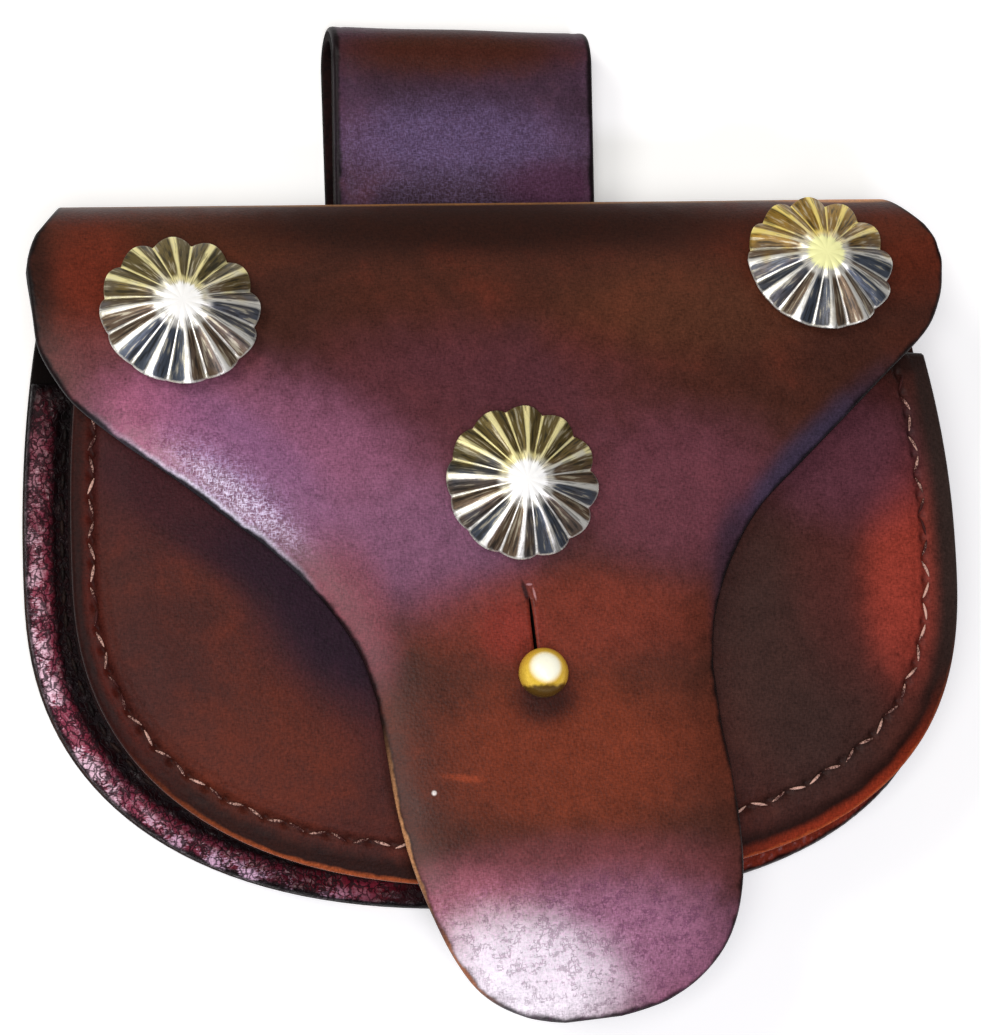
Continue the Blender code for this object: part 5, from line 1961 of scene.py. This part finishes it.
PANEL_LIPS_AND_PAINTED_HIGHLIGHTS = (
    Lip(0.0058, StainOrPaintedLight(-0.068, -0.066, 0.026, 0.09, (86, 27, 18), 0.65)),
    Lip(0.003, StainOrPaintedLight(-0.07, -0.066, 0.026, 0.09, (24, 13, 12), 0.85)),
    Lip(0.0088, StainOrPaintedLight(0.0785, -0.058, 0.03, 0.1, (54, 42, 38), 0.94)),
    # Raw-edge tone with a painted highlight along the lower left.
    Lip(0.0012, StainOrPaintedLight(-0.03, -0.112, 0.1, 0.05, (160, 78, 42), 0.85)),
    Lip(0.003, StainOrPaintedLight(0.054, -0.104, 0.06, 0.046, (140, 48, 26), 0.85)),
    # Painted highlights on the orange edge band at the lower right.
    Lip(0.001, StainOrPaintedLight(0.054, -0.104, 0.07, 0.06, (178, 84, 40), 0.7)),
)

GUSSET_STAINS_AND_PAINTED_HIGHLIGHTS = (
    # Painted pink highlights on the crackled band.
    StainOrPaintedLight(-0.074, -0.06, 0.02, 0.07, (150, 84, 104), 0.4, gloss=0.9, speckled=True),
    StainOrPaintedLight(-0.056, -0.104, 0.06, 0.03, (140, 78, 100), 0.4, turn=-40.0, gloss=0.9, speckled=True),
    # Darker at the middle of the foot, under the tongue's tip.
    StainOrPaintedLight(-0.008, -0.1165, 0.04, 0.01, (22, 8, 10), 0.9, crackle=-0.6),
    StainOrPaintedLight(0.045, -0.11, 0.08, 0.046, (120, 42, 26), 0.95, crackle=-1.0),
)

GUSSET_LIPS_AND_PAINTED_LIGHT = (
    # Painted pink sheen and painted white and pink highlights on the outer half of the band.
    Lip(0.0042, StainOrPaintedLight(-0.07, -0.084, 0.046, 0.1, (166, 78, 102), 0.52)),
    Lip(0.0036, StainOrPaintedLight(-0.07, -0.08, 0.04, 0.08, (232, 196, 212), 0.9, speckled=True)),
    Lip(0.0032, StainOrPaintedLight(-0.046, -0.11, 0.044, 0.02, (216, 176, 204), 0.8, turn=-24.0, speckled=True)),
    # Painted shade at the band's top end, under the left ear.
    Lip(0.009, StainOrPaintedLight(-0.072, -0.027, 0.04, 0.01, (6, 4, 4), 0.97)),
    Lip(0.014, StainOrPaintedLight(-0.0702, -0.0312, 0.015, 0.028, (6, 4, 4), 0.97, turn=23.0)),
    Lip(0.0007, StainOrPaintedLight(-0.04, -0.08, 0.2, 0.2, (12, 6, 8), 0.95)),
)

LOOP_STAINS_AND_PAINTED_LIGHT = (
    # Painted brown over the bend, without the painted violet sheen below, and a painted highlight along its
    # top edge.
    StainOrPaintedLight(-0.002, 0.029, 0.064, 0.014, (66, 30, 20), 0.97),
    StainOrPaintedLight(-0.002, 0.0351, 0.06, 0.0014, (150, 116, 66), 0.7),
    # Painted violet sheen on the front of the loop.
    StainOrPaintedLight(-0.003, 0.013, 0.056, 0.018, (86, 66, 98), 0.85, gloss=0.4, crackle=0.3),
    StainOrPaintedLight(-0.004, 0.01, 0.06, 0.026, (120, 108, 150), 0.3, gloss=0.4, speckled=True),
    StainOrPaintedLight(0.014, 0.005, 0.026, 0.012, (84, 44, 72), 0.6),
)

TONGUE_EDGE = (
    StainOrPaintedLight(-0.0225, -0.1045, 0.014, 0.034, (206, 158, 116), 0.95),
    StainOrPaintedLight(-0.018, -0.126, 0.016, 0.016, (166, 96, 60), 0.9),
)

PANEL_EDGE = (
    StainOrPaintedLight(-0.074, -0.055, 0.03, 0.07, (14, 8, 8), 0.95),
    StainOrPaintedLight(0.074, -0.046, 0.03, 0.07, (20, 11, 10), 0.9),
)

# Painted shade on the back panel under the left ear.
BACK_FLESH_PAINTED_SHADE = (StainOrPaintedLight(-0.076, -0.03, 0.03, 0.04, (6, 4, 4), 0.97),)


LEATHERS = (
    LeatherFinish(
        "flap_grain", srgb(78, 38, 27), srgb(62, 32, 24), srgb(94, 38, 25), 0.032,
        stains_and_light=FLAP_STAINS_AND_PAINTED_LIGHT, lips=FLAP_LIPS_AND_PAINTED_HIGHLIGHT, burnish_width=0.0012, burnish_full=0.0003, front_only=True,
    ),
    LeatherFinish(
        "panel_grain", srgb(80, 36, 28), srgb(62, 30, 26), srgb(96, 40, 26), 0.03,
        stains_and_light=PANEL_STAINS_AND_PAINTED_SHADOW, lips=PANEL_LIPS_AND_PAINTED_HIGHLIGHTS, roughness=0.5, coat=0.0, specular=0.07,
        burnish=srgb(30, 13, 9), burnish_width=0.0056, burnish_full=0.0026, burnish_strength=0.88,
    ),
    LeatherFinish(
        "gusset_grain", srgb(112, 24, 40), srgb(64, 12, 22), srgb(136, 56, 72), 0.005,
        stains_and_light=GUSSET_STAINS_AND_PAINTED_HIGHLIGHTS, lips=GUSSET_LIPS_AND_PAINTED_LIGHT, roughness=0.34, coat=0.05, specular=0.1, grain=1.2,
        # inner paints the gusset's wall and the flanges by it near black, as shade in the groove.
        burnish=srgb(10, 6, 7), burnish_width=0.0011, burnish_full=0.0004, inner=srgb(7, 4, 4),
        net=0.0015, crackle=0.95, crack_colour=srgb(14, 5, 8), crack_strength=0.9,
    ),
    LeatherFinish(
        # The loop's violet base colours are painted sheen.
        "loop_grain", srgb(78, 52, 72), srgb(58, 38, 52), srgb(86, 42, 46), -0.002,
        stains_and_light=LOOP_STAINS_AND_PAINTED_LIGHT, burnish_width=0.0014,
    ),
)

RAW_LEATHERS = (
    RawLeatherFinish("flap_edge", srgb(8, 4, 5), srgb(20, 11, 9), stains_and_light=TONGUE_EDGE, front_only=True),
    RawLeatherFinish("panel_edge", srgb(84, 34, 18), srgb(176, 92, 46), stains_and_light=PANEL_EDGE),
    RawLeatherFinish("dark_edge", srgb(8, 5, 5), srgb(20, 11, 10)),
    RawLeatherFinish("flesh", srgb(38, 20, 17), srgb(64, 36, 28), fibre=0.0009, stains_and_light=BACK_FLESH_PAINTED_SHADE),
    RawLeatherFinish("lining", srgb(16, 8, 9), srgb(34, 17, 17), fibre=0.0009),
)


@dataclass
class Bag:
    """The whole belt bag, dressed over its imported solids."""

    shape: BagShape
    layout: Layout

    def build(self) -> None:
        """Makes every piece."""
        shape = self.shape
        found = {finish.name: finish.material(self.layout) for finish in LEATHERS + RAW_LEATHERS}

        def skins(*names: str) -> list[Material]:
            """The materials of a sheet's grain side, flesh side and cut edge."""
            return [found[name] for name in names]

        Hide(
            "back_flap_hide", ("back_flap",), "flap_leather", self.layout,
            skins("flap_grain", "flesh", "flap_edge"), shape,
            thickness=shape.hide, grain_radius=0.0007, flesh_radius=0.0005, turned_over=True,
        ).build()
        FrontPanel(
            "front_panel_hide", ("front_panel",), "panel_leather", self.layout,
            skins("panel_grain", "lining", "panel_edge"), shape, thickness=shape.panel_hide,
        ).build()
        Gusset(
            "gusset_hide", ("gusset",), "gusset_leather", self.layout,
            skins("gusset_grain", "lining", "dark_edge"), shape,
            thickness=shape.gusset_hide, grain_radius=0.0007,
        ).build()
        LoopStrap(
            "belt_loop_strap", ("belt_loop",), "loop_leather", self.layout,
            skins("loop_grain", "lining", "dark_edge"), shape, thickness=shape.strap_hide,
        ).build()
        self.build_metal()
        self.build_thread()

    def build_metal(self) -> None:
        """Makes the studs and finishes the screws behind them."""
        # cool and warm are painted reflections for the fluted studs' flanks; each stud light adds a painted
        # warm reflection on the upper half and a painted white glare in the middle, warmer on the right stud.
        cool, warm = srgb(40, 54, 74), srgb(92, 66, 38)
        stud_light = PaintedStudLight(cool, warm, srgb(250, 238, 160), srgb(92, 74, 22), srgb(255, 255, 252))
        warmer_stud_light = PaintedStudLight(cool, warm, srgb(255, 228, 96), srgb(150, 112, 26), srgb(255, 255, 184))
        bright, dull = srgb(250, 248, 240), srgb(206, 198, 172)
        silver, warmer_lit_silver = (
            MetalFinish(name, bright, dull, roughness=0.42, metallic=0.75, painted_light=painted_light).material()
            for name, painted_light in (("aged_silver", stud_light), ("gilded_silver", warmer_stud_light))
        )
        # A painted highlight on the ball's crown and a painted dark reflection on its lower side.
        wear = PaintedBallLight(srgb(255, 254, 232), srgb(50, 16, 5))
        brass = MetalFinish(
            "polished_brass", srgb(255, 214, 76), srgb(246, 190, 54),
            roughness=0.34, metallic=0.3, scratch=0.3, wear=wear,
        ).material()
        light_grey, grey = srgb(176, 176, 172), srgb(140, 138, 132)
        steel = MetalFinish("plain_steel", light_grey, grey, roughness=0.34).material()
        for place, fit in STUD_FITS.items():
            name = f"concho_{place.name.lower()}"
            metal = warmer_lit_silver if place is Place.RIGHT else silver
            seed = fit.turn + len(place.name)
            Concho(
                f"{name}_dome", (name,), "silver_studs", self.layout, [metal], self.shape,
                place=place, fit=fit, seed=seed,
            ).build()
        BallStud("ball_stud_turned", ("ball_stud",), "ball_brass", self.layout, [brass], self.shape).build()
        for node in ("concho_screw_left", "concho_screw_centre", "concho_screw_right", "stud_screw"):
            thing = frame["nodes"][node]
            for material_slot in thing.material_slots:
                material_slot.material = steel
            log.info("%s keeps its solid's shape", node)

    def build_thread(self) -> None:
        """Makes the stitches."""
        linen = ThreadFinish("linen_thread", srgb(60, 24, 22), srgb(212, 168, 152)).material()
        dark = ThreadFinish("dark_thread", srgb(14, 7, 7), srgb(40, 24, 20)).material()
        shape = self.shape
        lines = (
            ("front_stitches", "panel_leather", linen, (front_seam(shape),)),
            ("back_stitches", "gusset_leather", dark, (back_seam(shape, False), back_seam(shape, True))),
            ("loop_stitches", "loop_leather", linen, (loop_seam(shape),)),
        )
        for name, slot, thread, seams in lines:
            Stitches(name, (), slot, self.layout, [thread], shape, seams=seams).build()


def main() -> None:
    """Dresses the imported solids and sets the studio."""
    logging.basicConfig(level=logging.INFO, format="%(message)s")
    noise.seed_set(NOISE_SEED)
    kept = set(frame["nodes"].values()) | set(frame["bodies"].values())
    for thing in list(bpy.data.objects):
        if thing not in kept:
            bpy.data.objects.remove(thing, do_unlink=True)
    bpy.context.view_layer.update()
    shape = BagShape()
    layout = Layout.from_stud(shape)
    Bag(shape, layout).build()
    lamps = (
        Lamp("flash", (-0.24, -0.11, 0.96), 0.9, (0.26, 0.26), 4.0, (1.0, 0.99, 0.97)),
        Lamp("key", (-0.7, 0.45, 0.9), 1.1, (0.4, 0.4), 4.2, (1.0, 0.97, 0.93)),
        Lamp("low_window", (0.05, -0.46, 0.88), 0.9, (0.16, 0.1), 2.0, (0.86, 0.84, 1.0)),
        Lamp("top_glow", (0.3, 1.0, 0.35), 1.0, (0.5, 0.2), 0.5, (1.0, 0.8, 0.5)),
    )
    floor = FloorFinish("pale_paper", (0.93, 0.93, 0.93), 0.32)
    Studio(layout, floor, lamps, Viewpoint()).build()


if __name__ == "__main__":
    main()
